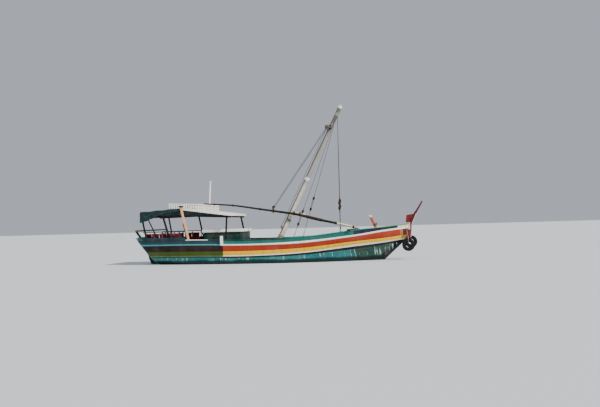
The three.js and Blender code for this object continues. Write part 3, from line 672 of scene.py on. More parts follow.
# Thin white line above the black strake, green aft, which is painted shade tinted by light from the water
WHITE_LINE = painted(
    "white_line_paint", "5E7A3A", "8A7A60", wear=0.35, fade=0.12, zones=((-2.4, 0.1, "FFF8EC"),)
)
# Yellow band, olive in the shade aft, ochre strip at the bow
YELLOW = painted(
    "yellow_paint", "3E4E0A", "A98A50", wear=0.35, fade=0.04,
    zones=((-2.38, 0.1, "F4BC00"), (7.2, 0.02, "A8742E")),
)
# Faded brick red strake, dark brown-red aft as painted shade, brown-red end panel
RED = painted(
    "brick_red_paint", "200603", "3E1C12", wear=0.5, fade=0.05, planks=2, inside=INNER,
    zones=((-2.38, 0.1, "A4300E"), (7.16, 0.02, "A86A3A"), (7.3, 0.02, "5A140C")),
)
# White moulding under the bulwark, pale turquoise aft, which is painted shade tinted by light from the water
WHITE = painted(
    "white_band_paint", "3C9AA0", "A89A80", wear=0.3, inside=INNER, zones=((-2.4, 0.1, "FFFAF2"),)
)
# Teal bulwark boards, darker aft as painted shade, with a dark gap forward that is painted shade, and a
# cream panel at the stem
TEAL = painted(
    "teal_paint", "083A48", "4D6F58", wear=0.4, fade=0.05, planks=2, inside=INNER,
    zones=((-2.36, 0.1, "146A5E"), (4.9, 0.3, "14203A"), (7.05, 0.02, "F4E0C6")),
)
# Cap rail: dark aft, cream by the house, teal-green, then light green at the bow
RAIL = painted(
    "rail_paint", "12241F", "8A7A60", wear=0.5, fade=0.1,
    zones=((-4.6, 0.02, "F8E8CC"), (-3.25, 0.05, "0C3434"), (1.5, 1.0, "1E8474"), (5.7, 0.4, "5A9656")),
)
# Deep blue-green of the boards on the quarter, dull with handling
QUARTER = painted("quarter_board_paint", "06323E", "24463E", wear=0.45, fade=0.08)
# Fresh cream white, hardly dirty, that stands out against the dark canopy
CREAM = painted("cream_paint", "FFF8EC", "9A8466", wear=0.25, fade=0.1, grime=0.15)
# Cream roof boards, with their seams showing
ROOF = painted("roof_board_paint", "FCF2E2", "9A8466", fade=0.2, grime=0.25, boards=(1, 0.22))
# Dark green upright boards of the deckhouse, scratched by gear, near black as painted shade under the
# overhanging top
HOUSE = painted("house_paint", "08322E", "6A6A50", wear=0.4, fade=0.08, boards=(0, 0.18))
# Near black green of the boards in the shade of the roof
SIDE_GREEN = painted("side_board_paint", "0A2E30", "5A6450", wear=0.4, fade=0.1)
# Maroon stem: brown-red panel, pale pink line down its front edge that is painted highlight, black below
STEM = painted(
    "stem_paint", "4A1420", "6A4A3A", fade=0.08,
    cuts=(
        (((-1.0, 0.0, -7.7), (0.0, -1.0, -1.62)), 0.02, "6E1C12"),
        (((-1.0, 0.0, -7.7), (0.0, 1.0, 1.62)), 0.02, "F0D8BE"),
        # Painted highlight: the pale pink line down the front edge
        (((1.0, -0.1096, 7.567), (1.0, -0.4455, 6.912)), 0.008, "E8A8A0"),
        (((0.0, -1.0, -1.2),), 0.06, "0A141E"),
    ),
)
# Dark maroon spike, paler and pinker towards its tip as painted highlight
SPIKE = painted("spike_paint", "300C14", "5E3830", fade=0.04, zones=((8.12, 0.1, "5E2028"),))
# Red wing board of the stem, darker towards the front
STEM_RED = painted(
    "stem_board_paint", "86160E", "8A4A34", fade=0.12, zones=((7.66, 0.06, "6E1410"),)
)
# Pink-red mooring post with a worn white tip
POST_RED = painted(
    "mooring_post_paint", "C25440", "8A6A50", wear=0.4, fade=0.3,
    cuts=((((0.0, 1.0, 2.34),), 0.05, "F2E6DA"),),
)
# Weathered green transom boards, chalky where the sun gets at them
TRANSOM = painted("transom_paint", "1E7468", "5A6A56", wear=0.5, fade=0.12, boards=(2, 0.24))
# Warm cream of the tall post, with runs of dirt
POST_CREAM = painted("cream_post_paint", "E8AE7C", "8A5A3A", wear=0.4, fade=0.1, grime=0.45)
# Weathered mast timber, darker on its after side as painted shade, browner grey above the band
MAST = timber(
    "mast_timber", "B5AC9C", "E2DACA", along="z", grain=1.4, cracks=0.5,
    zones=((4.3, 0.4, "8C8780"), (7.4, 0.9, "5A5650")), after_side_shade=(0.504, -0.3232, 0.1, "3A3630"),
)
# Oiled pole, almost black, with long cracks
YARD = timber("yard_timber", "14110F", "2E2824", grain=1.6, cracks=0.4)
# Bare pale pole, pinkish where it is new
YARD_PALE = timber("yard_fish_timber", "C8A88A", "F0D6BC", grain=1.6, cracks=0.35)
# Deck boards scrubbed grey-brown, each a little different
DECK = timber("deck_timber", "7A6650", "AB967A", seams=0.16, cracks=0.4, rough=0.8)
# Browner bench boards, polished by use
BENCH = timber("bench_timber", "5E4A36", "8C745A", seams=0.13)
# Near-black timber of the canopy and the beams: its darkness is painted shade, as of posts in shade against
# the light
DARK = timber("dark_timber", "0A0A0C", "1C1714", grain=1.4, rough=0.6)
# Brown ribs with upright grain
RIB = timber("rib_timber", "4A3A2A", "7A6248", along="z", grain=1.6, cracks=0.35)
# Block at the mast head, bleached grey
GREY_BLOCK = timber("grey_block_timber", "3A3733", "6A655E", along="z", grain=6.0)
# Oiled dark brown rope blocks with fine grain
BLOCK = timber("block_timber", "1E1510", "3E2B1D", along="z", grain=6.0, cracks=0.2, rough=0.5)
# Pale bare wood of the cleat
PALE = timber("pale_timber", "A88A68", "CDB08A", grain=1.5, cracks=0.35)
# Blue-black coating of the keel, sternpost and rudder
BOTTOM_TIMBER = timber("coated_timber", "10161A", "1C2628", grain=1.2, cracks=0.2, rough=0.5)
# Brown hemp, laid in three strands
ROPE = roped("laid_rope", "6A5844", "A89474")
# The same, dark with tar
DARK_ROPE = roped("tarred_rope", "2A221A", "4E4234")
# Old grey-white cord
PALE_ROPE = roped("worn_rope", "8A8074", "C8BEAC")
# Heavy dark green cloth, paler in the creases of its hanging sides as painted highlight where the folds
# catch the light
TARP = woven("tarpaulin_cloth", "01181C", "0E4A4C", 0.006, 0.6, creases="225A5C")
# Deep red seat cloth, matt and dusty, darkened as painted shade under the canopy
CUSHION = woven("cushion_cloth", "6E0610", "3E0A10", 0.004, 0.95)
# Off-white cord round the cushions
PIPING = plain("cushion_piping", "E8D8D0", 0.85, "A08078", amount=0.3, scale=30.0)
# Black rubber gone grey
RUBBER = plain("tyre_rubber", "101113", 0.75, "3A3A38", amount=0.35, scale=9.0)
# Brown iron with orange rust
IRON = plain("rusted_iron", "4A3A30", 0.75, "7A3A1E", amount=0.7, scale=40.0, metal=0.3)
# Small rusty heads that stain the paint
NAIL = plain("nail_heads", "3A2A20", 0.7, "8A4A26", amount=0.6, scale=60.0, metal=0.4)
# Clean white paint of the mast's band and cap
FINIAL = plain("white_cap_paint", "F2EEE4", 0.5, "9A8A70", amount=0.3, scale=12.0)


# Hull
STEPS = 90
SHARES = [i / STEPS for i in range(STEPS + 1)]
BILGE_STEPS = 4
# Depth from the outer surface to the back of the planks, and the planks' own
SKIN = 0.0603
PLANK = 0.06


def bottom_points(s):
    """The round of the bottom from keel to wale, starboard side."""
    rows = [hull_point(name, s) for name in ORDER[:6]]
    points = []
    for i in range(4):
        a = rows[i] * 2 - rows[1] if i == 0 else rows[i - 1]
        points += [between(a, *rows[i : i + 3], k / BILGE_STEPS) for k in range(BILGE_STEPS)]
    return points + [rows[4]]


def inset(p, depth):
    """A point of the starboard side moved in towards the middle."""
    return Vector((p.x, p.y + depth, p.z))


# The planked bottom, from keel to wale on both sides, with the body above
skin = bmesh.new()
rings = []
for s in SHARES:
    half = bottom_points(s)
    half += [inset(hull_point(line, s), SKIN) for line in ("wale", "yellow", "red")]
    half.append(inset(deck_point(s), SKIN))
    rings.append(half + [Vector((p.x, -p.y, p.z)) for p in reversed(half)])
loft(skin, rings)
piece("hull_skin", skin, BOTTOM, replaces=("hull_body",), sharp=50)


def band(low, high, shares, side, proud, crown):
    """One plank of the topside between two shares of the way from one line to
    another, standing proud of the skin, with eased edges."""
    mesh = bmesh.new()
    rows = []
    for s in SHARES:
        a, b = hull_point(low, s), hull_point(high, s)
        bottom, top = a.lerp(b, shares[0]), a.lerp(b, shares[1])
        # A narrow band has less room for its eased edges
        ease = min(0.012, (top - bottom).length * 0.2)
        up = (top - bottom).normalized()
        out = Vector((0, -1, 0))
        face = [
            bottom + out * (proud - ease),
            bottom + up * ease + out * proud,
            bottom.lerp(top, 0.5) + out * (proud + crown),
            top - up * ease + out * proud,
            top + out * (proud - ease),
        ]
        rows.append(flip(face + [inset(top, PLANK), inset(bottom, PLANK)], side))
    loft(mesh, rows)
    return mesh


def cap_rail(side):
    """The rail's board, its edges worn round."""
    mesh = bmesh.new()
    rows = []
    for s in SHARES:
        p = hull_point("rail", s)
        outer, inner = p.y - 0.025, min(p.y + 0.125, -0.002)
        low, high = p.z + 0.0003, p.z + 0.0503
        outline = (
            (outer + 0.006, low), (inner - 0.004, low), (inner, low + 0.008), (inner, high - 0.012),
            (inner - 0.012, high), (outer + 0.014, high), (outer, high - 0.014), (outer, low + 0.01),
        )
        rows.append([Vector((p.x, y * side, z)) for y, z in outline])
    loft(mesh, rows)
    return mesh


# Planks of the topside: piece, the lines below and above, shares between them,
# how far it stands proud, its crown, paint, the node it replaces and its slot
BANDS = (
    ("black_strake", "wale", "yellow", (0.0, 0.58), 0.014, 0.01, BLACK, "wale_strake", "wale_paint"),
    ("white_line", "wale", "yellow", (0.585, 1.0), 0.006, 0.0, WHITE_LINE, None, "wale_paint"),
    ("yellow_strake", "yellow", "red", (0.005, 0.995), 0.002, 0.004, YELLOW, None, "wale_paint"),
    ("red_planks", "red", "white", (0.0, 1.0), 0.0, 0.004, RED, "red_strake", "red_paint"),
    ("white_moulding", "white", "teal", (0.0, 1.0), 0.012, 0.006, WHITE, "bulwark", "white_paint"),
    ("bulwark_boards", "teal", "rail", (0.01, 1.0), 0.0, 0.0, TEAL, None, "teal_paint"),
)
for name, side in SIDES:
    for label, low, high, shares, proud, crown, paint, node, slot in BANDS:
        plank = band(low, high, shares, side, proud, crown)
        replaced = (f"{node}_{name}",) if node else ()
        piece(f"{label}_{name}", plank, paint, replaces=replaced)
    piece(f"cap_board_{name}", cap_rail(side), RAIL, replaces=(f"cap_rail_{name}",))
    eased_piece(f"quarter_boards_{name}", f"quarter_rail_{name}", 0.006, QUARTER)
    eased_piece(f"timber_head_{name}", f"timberhead_{name}", 0.014, CREAM, segments=3)
    eased_piece(f"side_bench_{name}", f"bench_{name}", 0.01, BENCH)

# Deck, keel and stem, as the solids are with their edges eased
eased_piece("deck_boards", "deck_planking", 0.004, DECK)
eased_piece("keel_timber", "keel", 0.015, BOTTOM_TIMBER)
eased_piece("stem_timber", "stem_post", 0.012, STEM)
eased_piece("stem_wing_board", "stem_board", 0.01, STEM_RED)
eased_piece("stem_horn", "stem_spike", 0.006, SPIKE, angle=50)


def rounded_outline(points):
    """A closed outline made smooth between its sharp corners."""
    count = len(points)
    corners = []
    for i in range(count):
        before, after = points[i] - points[i - 1], points[(i + 1) % count] - points[i]
        if before.angle(after) > math.radians(50):
            corners.append(i)
    out = []
    for a, b in zip(corners, corners[1:] + [corners[0] + count]):
        out += smooth_path([points[i % count] for i in range(a, b + 1)], 4)[:-1]
    return out


# Transom: its after face drawn smooth, and the same thickness as the solid's
plate = node_form("transom")
after_face = max((f for f in plate.faces if f.normal.x < -0.5), key=lambda f: f.calc_area())
edge_verts = set(after_face.verts)
outline = [v.co.copy() for v in after_face.verts]
rest = [v.co for v in plate.verts if v not in edge_verts]
near = min(rest, key=lambda p: abs(p.y - outline[0].y) + abs(p.z - outline[0].z))
depth = Vector((near.x - outline[0].x, 0, 0))
plate.free()
boards = bmesh.new()
outline = rounded_outline(outline)
loft(boards, [outline, [p + depth for p in outline]])
soften(boards, [e for e in boards.edges if e.calc_face_angle(0) > math.radians(60)], 0.008)
piece("transom_boards", boards, TRANSOM, replaces=("transom",))

# Sternpost, rudder, deckhouse, beams of the deck and mooring post, eased as well
eased_piece("stern_post_timber", "sternpost", 0.006, BOTTOM_TIMBER)
eased_piece("rudder_blade", "rudder", 0.008, BOTTOM_TIMBER, body="rudder")
eased_piece("tiller_bar", "tiller", 0.016, BENCH, body="rudder", segments=3)
eased_piece("house_walls", "deckhouse", 0.01, HOUSE)
eased_piece("house_roof", "deckhouse_top", 0.018, CREAM, segments=3)
eased_piece("mast_thwart", "mast_beam", 0.012, DARK)
eased_piece("fore_thwart", "fore_cross_beam", 0.012, DARK)
eased_piece("bow_post", "mooring_post", 0.016, POST_RED, segments=3)

# Ribs that show inside the bulwarks, from the deck to the cap rail, and the
# nails that hold the planks to them outside
RIB_START = -3.95
RIB_STEP = 0.46
RIB_END = 6.6
# No rib where the mast beam and the fore beam meet the side: middle and room each way
BEAM_ENDS = ((0.5, 0.2), (4.545, 0.16))
# The lines below and above, share between them, and how far the plank stands proud
NAIL_ROWS = (
    ("yellow", "red", 0.5, 0.006),
    ("red", "white", 0.22, 0.003),
    ("red", "white", 0.72, 0.003),
    ("teal", "rail", 0.45, 0.0),
)
for name, side in SIDES:
    ribs = bmesh.new()
    nails = bmesh.new()
    for k in range(24):
        x = RIB_START + k * RIB_STEP
        if x > RIB_END or any(abs(x - middle) < room for middle, room in BEAM_ENDS):
            continue
        s = share_at(x)
        low, high = deck_point(s), hull_point("rail", s)
        foot = Vector((x, (low.y + SKIN + 0.032) * side, low.z + 0.034))
        head = Vector((x, (high.y + SKIN + 0.032) * side, high.z - 0.001))
        bar(ribs, foot, head, 0.07, 0.058, ease=0.008)
        for lower, upper, share, proud in NAIL_ROWS:
            for shift in (-0.02, 0.02):
                q = hull_point(lower, s).lerp(hull_point(upper, s), share)
                spot = (q.x + shift, (q.y - proud - 0.001) * side, q.z)
                peg(nails, facing(spot, (0, -side, 0), (0, 0, 1)), 8, (0.011, 0.007), 0.005)
    piece(f"rib_heads_{name}", ribs, RIB)
    piece(f"nail_heads_{name}", nails, NAIL)

# Door of the deckhouse, on its after side, with strap hinges and a ring
DOOR_BOARD = 0.15
BATTENS_Z = (1.15, 1.55)
door = bmesh.new()
for k in range(4):
    y = -0.3 + k * DOOR_BOARD
    brick(door, (-3.874, y, 1.02), (-3.852, y + DOOR_BOARD - 0.006, 1.7), 0.004)
for z in BATTENS_Z:
    brick(door, (-3.888, -0.29, z), (-3.873, 0.28, z + 0.07), 0.004)
piece("house_door", door, HOUSE)
straps = bmesh.new()
for z in BATTENS_Z:
    brick(straps, (-3.892, -0.34, z + 0.025), (-3.887, 0.1, z + 0.047), 0.002)
tube(straps, hoop((-3.894, 0.22, 1.38), (0, 1, 0), (0, 0, 1), (0.035, 0.035), 20), 0.005, 6)
piece("house_ironwork", straps, IRON)

# Mast
MAST_FOOT_X = 0.08
MAST_FOOT_Z = 0.8
MAST_HEAD_Z = 8.6
MAST_RAKE = 0.504
MAST_RADII = (0.146, 0.108)


def mast_x(z):
    """Where the mast's axis is at a height."""
    return MAST_FOOT_X + MAST_RAKE * (z - MAST_FOOT_Z)


def mast_radius(z):
    low, high = MAST_RADII
    return low + (high - low) * (z - MAST_FOOT_Z) / (MAST_HEAD_Z - MAST_FOOT_Z)


def on_mast(z):
    """The point of the mast's axis at a height."""
    return Vector((mast_x(z), 0, z))


MAST_AXIS = Vector((MAST_RAKE, 0, 1)).normalized()
mast = bmesh.new()
points, radii = [], []
for k in range(61):
    z = 0.85 + (MAST_HEAD_Z - 0.85) * k / 60
    # A tree trunk is never quite straight, nor quite round
    sway = 0.006 * math.sin(z * 1.7) + 0.004 * math.sin(z * 4.1)
    points.append(Vector((mast_x(z) + sway, 0.004 * math.sin(z * 2.3), z)))
    radii.append(mast_radius(z) * (1 + 0.012 * math.sin(z * 5.3)) - 0.002)
tube(mast, points, radii, 28)
piece("mast_pole", mast, MAST, replaces=("mast",))

# Painted band round the mast, its white cap and the small rod on top
MAST_TOP_Z = 8.63
trim = bmesh.new()
for z0, z1, more in ((4.53, 4.7, 0.006), (8.5, MAST_TOP_Z, 0.012)):
    levels = [z0, z0 + 0.01, z1 - 0.01, z1]
    sizes = [mast_radius(z) + more - drop for z, drop in zip(levels, (0.006, 0, 0, 0.006))]
    tube(trim, [on_mast(z) for z in levels], sizes, 28)
top = on_mast(MAST_TOP_Z)
tube(trim, [top, top + MAST_AXIS * 0.02, top + MAST_AXIS * 0.12], [0.03, 0.016, 0.01], 10)
piece("mast_trim", trim, FINIAL)

# Rope bound round the mast: at its foot, under the head block and for the stays.
# Each has its height, its turns and its distance from the mast
BINDINGS = ((1.42, 9, 0.011), (2.35, 6, 0.009), (7.62, 4, 0.01), (8.18, 9, 0.01))
wound("mast_bindings", PALE_ROPE, [
    (on_mast(z), MAST_AXIS, mast_radius(z) + more, turns, 0.021, 0.0105) for z, turns, more in BINDINGS
])


# Blocks and ropes
ROPE_RADIUS = 0.0105
# A block of size 1: where its cheeks are and their half sizes, the same of the
# pieces that join them, the outline of its sheave, its pin and its strop
CHEEK_Y = 0.026
CHEEK_SIZE = (0.052, 0.014, 0.082)
END_PIECE_Z = 0.066
END_PIECE = (0.024, 0.028, 0.016)
SHEAVE = (
    (0.006, -0.014), (0.044, -0.014), (0.045, -0.01), (0.037, 0),
    (0.045, 0.01), (0.044, 0.014), (0.006, 0.014),
)
PIN_RADIUS = 0.009
PIN_LENGTH = 0.094
STROP_SIZE = (0.056, 0.087)
SIDEWAYS = Matrix.Rotation(math.pi / 2, 4, "X")


def pulley(wood, line, iron, centre, along, size):
    """A rope block: two round-edged cheeks, a sheave on its pin between them
    and a rope strop in a groove round them."""
    place = facing(centre, along)
    for y in (-CHEEK_Y, CHEEK_Y):
        cheek = bmesh.new()
        bmesh.ops.create_uvsphere(cheek, u_segments=18, v_segments=12, radius=1)
        flat = Matrix.Diagonal((*(v * size for v in CHEEK_SIZE), 1))
        put(wood, cheek, place @ (Matrix.Translation((0, y * size, 0)) @ flat))
    wide, deep, tall = END_PIECE
    for z in (-END_PIECE_Z, END_PIECE_Z):
        part = bmesh.new()
        low = (-wide * size, -deep * size, (z - tall) * size)
        brick(part, low, (wide * size, deep * size, (z + tall) * size), 0.006 * size)
        put(wood, part, place)
    sheave = turned([(r * size, h * size) for r, h in SHEAVE], 20, closed=True)
    put(wood, sheave, place @ SIDEWAYS)
    peg(iron, place @ SIDEWAYS, 10, (PIN_RADIUS * size,) * 2, PIN_LENGTH * size)
    for y in (-CHEEK_Y, CHEEK_Y):
        strop = bmesh.new()
        radii = [v * size for v in STROP_SIZE]
        tube(strop, hoop((0, y * size, 0), (1, 0, 0), (0, 0, 1), radii, 28), 0.008 * size, 6)
        put(line, strop, place)


def strand(mesh, a, b, thick, steps, sag=0.0):
    """A taut rope between two points, with the least sag it can have."""
    a, b = Vector(a), Vector(b)
    path = []
    for k in range(steps + 1):
        t = k / steps
        path.append(a.lerp(b, t) - Vector((0, 0, 4 * sag * t * (1 - t))))
    tube(mesh, path, thick, 8)


# Stays: name, where the foot is, its side, share of the way down to the upper
# block, share from there to the lower one, and the size of the blocks
STAYS = (
    ("aft_starboard", 1.6, 1, 0.8, 0.1, 1.0),
    ("aft_port", 1.25, -1, 0.685, 0.09, 1.0),
    ("fore_starboard", 4.12, 1, 0.75, 0.045, 1.15),
    ("fore_port", 3.48, -1, 0.75, 0.045, 1.15),
)
STAY_HEAD_Z = 8.25
# From the middle of a block to the rope's eye and to its seizing
BLOCK_END = 0.09
SEIZING_AT = 0.16
# Radius, turns, pitch and half thickness of the cord
SEIZING = (0.0165, 8, 0.0102, 0.0052)
FOOT_SEIZING = (0.0165, 9, 0.0106, 0.0054)
TACKLE_PARTS = (-0.036, 0.0, 0.036)
IRON_ROD = 0.007
for name, foot_x, side, share, span, size in STAYS:
    head = on_mast(STAY_HEAD_Z)
    foot = Vector((foot_x, (rail_y(foot_x) + 0.04) * side, cap_top(foot_x) + 0.014))
    run = (foot - head).normalized()
    upper, lower = head.lerp(foot, share), head.lerp(foot, share + span)
    across = run.cross((0, 1, 0)).normalized()
    wood, line, iron = bmesh.new(), bmesh.new(), bmesh.new()
    strand(line, head + run * 0.02, upper - run * BLOCK_END * size, 0.0115, 14, sag=0.02)
    helix(line, upper - run * SEIZING_AT * size, run, *SEIZING)
    pulley(wood, line, iron, upper, run, size)
    pulley(wood, line, iron, lower, run, size)
    for off in TACKLE_PARTS:
        aside = across * off * size
        strand(line, upper + aside + run * 0.02, lower + aside - run * 0.02, 0.009, 4)
    strand(line, lower + run * BLOCK_END * size, foot - run * 0.12, 0.012, 6)
    helix(line, lower + run * SEIZING_AT * size, run, *SEIZING)
    helix(line, foot - run * 0.19, run, *FOOT_SEIZING)
    # Shackle, and eye plate on the cap rail
    tube(iron, hoop(foot - run * 0.06, run, across, (0.06, 0.028), 20), IRON_ROD, 6)
    brick(iron, foot - Vector((0.06, 0.03, 0.015)), foot + Vector((0.06, 0.03, -0.006)), 0.003)
    eye = foot + Vector((0, 0, 0.004))
    tube(iron, hoop(eye, (1, 0, 0), (0, 0, 1), (0.022, 0.022), 16), IRON_ROD, 6)
    piece(f"stay_rope_{name}", line, DARK_ROPE, replaces=(f"stay_{name}",))
    piece(f"stay_blocks_{name}", wood, BLOCK)
    piece(f"stay_irons_{name}", iron, IRON)

# Block at the mast head, its arm bound with rope, and the two sheaves in it
YARD_Y = -0.3
HEAD_BLOCK = Vector((3.27, YARD_Y, 7.44))
eased_piece("head_block", "masthead_block", 0.014, GREY_BLOCK, segments=3)
fittings = bmesh.new()
for z in (7.385, 7.5):
    peg(fittings, facing((HEAD_BLOCK.x, YARD_Y, z), (0, 1, 0), (0, 0, 1)), 12, (0.014, 0.014), 0.134)
for y in (YARD_Y - 0.062, YARD_Y + 0.058):
    brick(fittings, (3.158, y, 7.42), (3.382, y + 0.004, 7.46), 0.0015)
piece("head_block_pins", fittings, IRON)
wound("head_block_strop", DARK_ROPE, [((3.37, -0.15, HEAD_BLOCK.z), (0, 1, 0), 0.13, 5, 0.02, 0.01)])

# Halyard: two parts from the head block to the hoisting block.
HOIST_X = 0.06
HOIST_Z = 3.02
HOIST_AXIS = Vector((HEAD_BLOCK.x - HOIST_X, 0, HEAD_BLOCK.z - HOIST_Z)).normalized()
HALYARD_LENGTH = 5.3
halyard = bmesh.new()
drop = HEAD_BLOCK - HOIST_AXIS * HALYARD_LENGTH
for off in (-0.03, 0.03):
    aside = HOIST_AXIS.cross((0, 1, 0)) * off
    strand(halyard, HEAD_BLOCK - HOIST_AXIS * 0.11 + aside, drop + aside, 0.0125, 40)
halyard_piece = piece("halyard_parts", halyard, DARK_ROPE)
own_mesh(halyard_piece)
# Its hauling part, taut down to a cleat on the mast
CLEAT_Z = 1.95
fall = bmesh.new()
cleat = on_mast(CLEAT_Z) + Vector((-mast_radius(CLEAT_Z) - 0.05, -0.03, 0))
strand(fall, HEAD_BLOCK + Vector((-0.06, 0.02, -0.13)), cleat + Vector((0, 0, 0.12)), 0.0115, 30)
# Four turns crossed over the cleat, each outside the last
for k, way in enumerate((1, -1, 1, -1)):
    outside = Vector((-0.012 - 0.008 * k, 0, 0))
    crossing = hoop(cleat + outside, (-0.01, 0, 0.1), (0, 0.045 * way, 0), (1, 1), 24)
    tube(fall, crossing, ROPE_RADIUS, 7)
piece("halyard_fall", fall, DARK_ROPE)
horns = bmesh.new()
brick(horns, cleat + Vector((-0.02, -0.022, -0.17)), cleat + Vector((0.012, 0.022, 0.17)), 0.01)
brick(horns, cleat + Vector((0.0, -0.02, -0.06)), cleat + Vector((0.08, 0.02, 0.06)), 0.006)
piece("mast_cleat", horns, PALE)

# Yard: x, height and radius along it
YARD_TABLE = (
    (-5.84, 3.44, 0.028), (-4.2, 3.405, 0.038), (-3.7, 3.372, 0.041), (-2.28, 3.255, 0.048),
    (-0.68, 2.995, 0.056), (1.2, 2.68, 0.068), (1.92, 2.51, 0.072), (2.72, 2.3, 0.07),
    (3.72, 2.065, 0.064), (4.85, 1.79, 0.058),
)
YARD_PAINTED_FROM = 3.62
path = smooth_path([(x, YARD_Y, z) for x, z, r in YARD_TABLE], 12)
radius_at = tuple((x, r) for x, z, r in YARD_TABLE)
height_at = tuple((p.x, p.z) for p in path)
joint = next(i for i, p in enumerate(path) if p.x > YARD_PAINTED_FROM)
yard = bmesh.new()
knotty = [curve(radius_at, p.x) * (1 + 0.02 * math.sin(p.x * 3.1)) for p in path[: joint + 1]]
tube(yard, path[: joint + 1], knotty, 18)
piece("yard_pole", yard, YARD, body="yard", replaces=("yard", "yard_tail"))
# Its fore end is pale
tip = bmesh.new()
tube(tip, path[joint:], [curve(radius_at, p.x) for p in path[joint:]], 18)
piece("yard_fore_end", tip, YARD_PALE, body="yard")
eased_piece("yard_fish_pole", "yard_fish", 0.004, YARD_PALE, body="yard")


def yard_point(x):
    """The point of the yard's axis at x."""
    for (x0, z0), (x1, z1) in zip(height_at, height_at[1:]):
        if x0 <= x <= x1:
            return Vector((x, YARD_Y, z0 + (z1 - z0) * (x - x0) / (x1 - x0)))
    return Vector((x, YARD_Y, height_at[-1][1]))


# Rope bound close round the yard: over its butt, round the fish, and a long
# dark woolding forward of the mast. Each has its x, its turns, the thickness of
# the rope and how far it is lifted to go round the fish as well.
YARD_LASHINGS = (
    (-3.42, 7, 0.009, 0.0), (-2.3, 6, 0.009, 0.0), (-0.7, 6, 0.009, 0.0), (1.26, 5, 0.009, 0.036),
    (1.6, 5, 0.009, 0.04), (2.02, 9, 0.011, 0.0), (2.26, 10, 0.011, 0.0), (2.5, 10, 0.011, 0.0),
    (2.74, 9, 0.011, 0.0), (3.62, 8, 0.009, 0.0), (4.6, 6, 0.009, 0.0),
)
coils = []
for x, turns, thick, lift in YARD_LASHINGS:
    run = yard_point(x + 0.1) - yard_point(x - 0.1)
    radius = curve(radius_at, x) + thick * 0.8 + lift
    coils.append((yard_point(x) + Vector((0, 0, lift)), run, radius, turns, thick * 2.05, thick))
wound("yard_lashings", DARK_ROPE, coils, body="yard")

# Hoisting block and the seizing over its sling
eased_piece("hoist_block", "hoisting_block", 0.005, BLOCK, body="hoisting_block")
sling_seizing = ((HOIST_X, YARD_Y, 3.022), (0, 0, 1), 0.058, 3, 0.016, 0.008)
wound("hoist_block_seizing", ROPE, [sling_seizing], body="hoisting_block")

# Canopy
ROOF_LINE = ((-7.45, 2.99), (-4.85, 3.16), (-2.1, 2.77))
ROOF_HALF = 1.5
# The tarpaulin's ends, the edge of its hang to starboard, and the least height
# of its edge to port; it is laced at even steps
TARP_AFT = -7.44
TARP_FORE = -4.96
TARP_EDGE = (
    (TARP_AFT, 2.4), (-7.2, 2.43), (-6.6, 2.655), (-6.0, 2.88), (-5.4, 2.948), (TARP_FORE, 2.995)
)
TARP_PORT_EDGE = 2.8
LACE_STEP = 0.31
# From the roof's edge to the hanging cloth, and points over half the roof,
# round its edge and down the hang
HANG_OUT = 0.064
TOP_POINTS = 20
EDGE_POINTS = 5
HANG_POINTS = 16


def roof_z(x):
    """Height of the top of the roof boards."""
    (x0, z0), (x1, z1) = ROOF_LINE[:2] if x < ROOF_LINE[1][0] else ROOF_LINE[1:]
    return z0 + (z1 - z0) * (x - x0) / (x1 - x0)


for name, side in SIDES:
    eased_piece(f"canopy_posts_{name}", f"canopy_frame_{name}", 0.007, DARK)
    eased_piece(f"side_boards_{name}", f"canopy_side_board_{name}", 0.004, SIDE_GREEN)
for k in range(1, 6):
    eased_piece(f"canopy_beam_{k}", f"canopy_cross_beam_{k}", 0.006, DARK)
eased_piece("roof_boards", "roof_deck", 0.006, ROOF)
eased_piece("tall_post", "roof_post", 0.008, POST_CREAM)
# Dark doubling behind the tall post's lower half and the black block on its head
TALL_POST_X = -4.46
doubling = bmesh.new()
post_foot = Vector((TALL_POST_X, rail_y(TALL_POST_X) + 0.099, cap_top(TALL_POST_X)))
post_head = Vector((-4.95, -1.63, 3.225))
behind = Vector((-0.09, 0.03, 0))
low, high = (post_foot.lerp(post_head, share) + behind for share in (0.02, 0.5))
bar(doubling, low, high, 0.075, 0.05, ease=0.006)
brick(doubling, (-5.07, -1.71, 3.2255), (-4.81, -1.55, 3.3), 0.016)
piece("tall_post_block", doubling, DARK)

# Railing on the roof: turned balusters under squared rails
RAIL_HALF = 1.38
RAIL_AFT = -5.72
RAIL_FORE = -3.7
# The side rails lie on the end rails
RISE = 0.055
SIDE_BALUSTERS = 15
END_BALUSTERS = 9
# Radius and share of the height of a baluster
VASE = (
    (0.004, 0.0), (0.026, 0.0), (0.026, 0.1), (0.016, 0.13), (0.02, 0.17), (0.031, 0.3), (0.034, 0.4),
    (0.026, 0.55), (0.015, 0.7), (0.013, 0.78), (0.02, 0.82), (0.014, 0.86), (0.024, 0.9),
    (0.024, 1.0), (0.004, 1.0),
)


def rail_top(x):
    """Height of the railing, which falls a little towards the bow."""
    return 3.394 - (x - RAIL_AFT) * 0.0645 / (RAIL_FORE - RAIL_AFT)


rails = bmesh.new()
for y in (-RAIL_HALF, RAIL_HALF):
    ends = [Vector((x, y, rail_top(x) + RISE - 0.0225)) for x in (RAIL_AFT - 0.025, RAIL_FORE + 0.025)]
    bar(rails, *ends, 0.045, 0.05, ease=0.01)
for x in (RAIL_AFT, RAIL_FORE):
    ends = [(x, y, rail_top(x) - 0.0235) for y in (-RAIL_HALF - 0.024, RAIL_HALF + 0.024)]
    bar(rails, *ends, 0.045, 0.05, across=(1, 0, 0), ease=0.008)


def baluster(x, y, top):
    """Adds one baluster of the railing."""
    # The after ones stand on the tarpaulin
    low = roof_z(x) + (0.024 if x < TARP_FORE else 0.001)
    vase = turned([(r, low + h * (top - low)) for r, h in VASE], 12)
    put(rails, vase, Matrix.Translation((x, y, 0)))


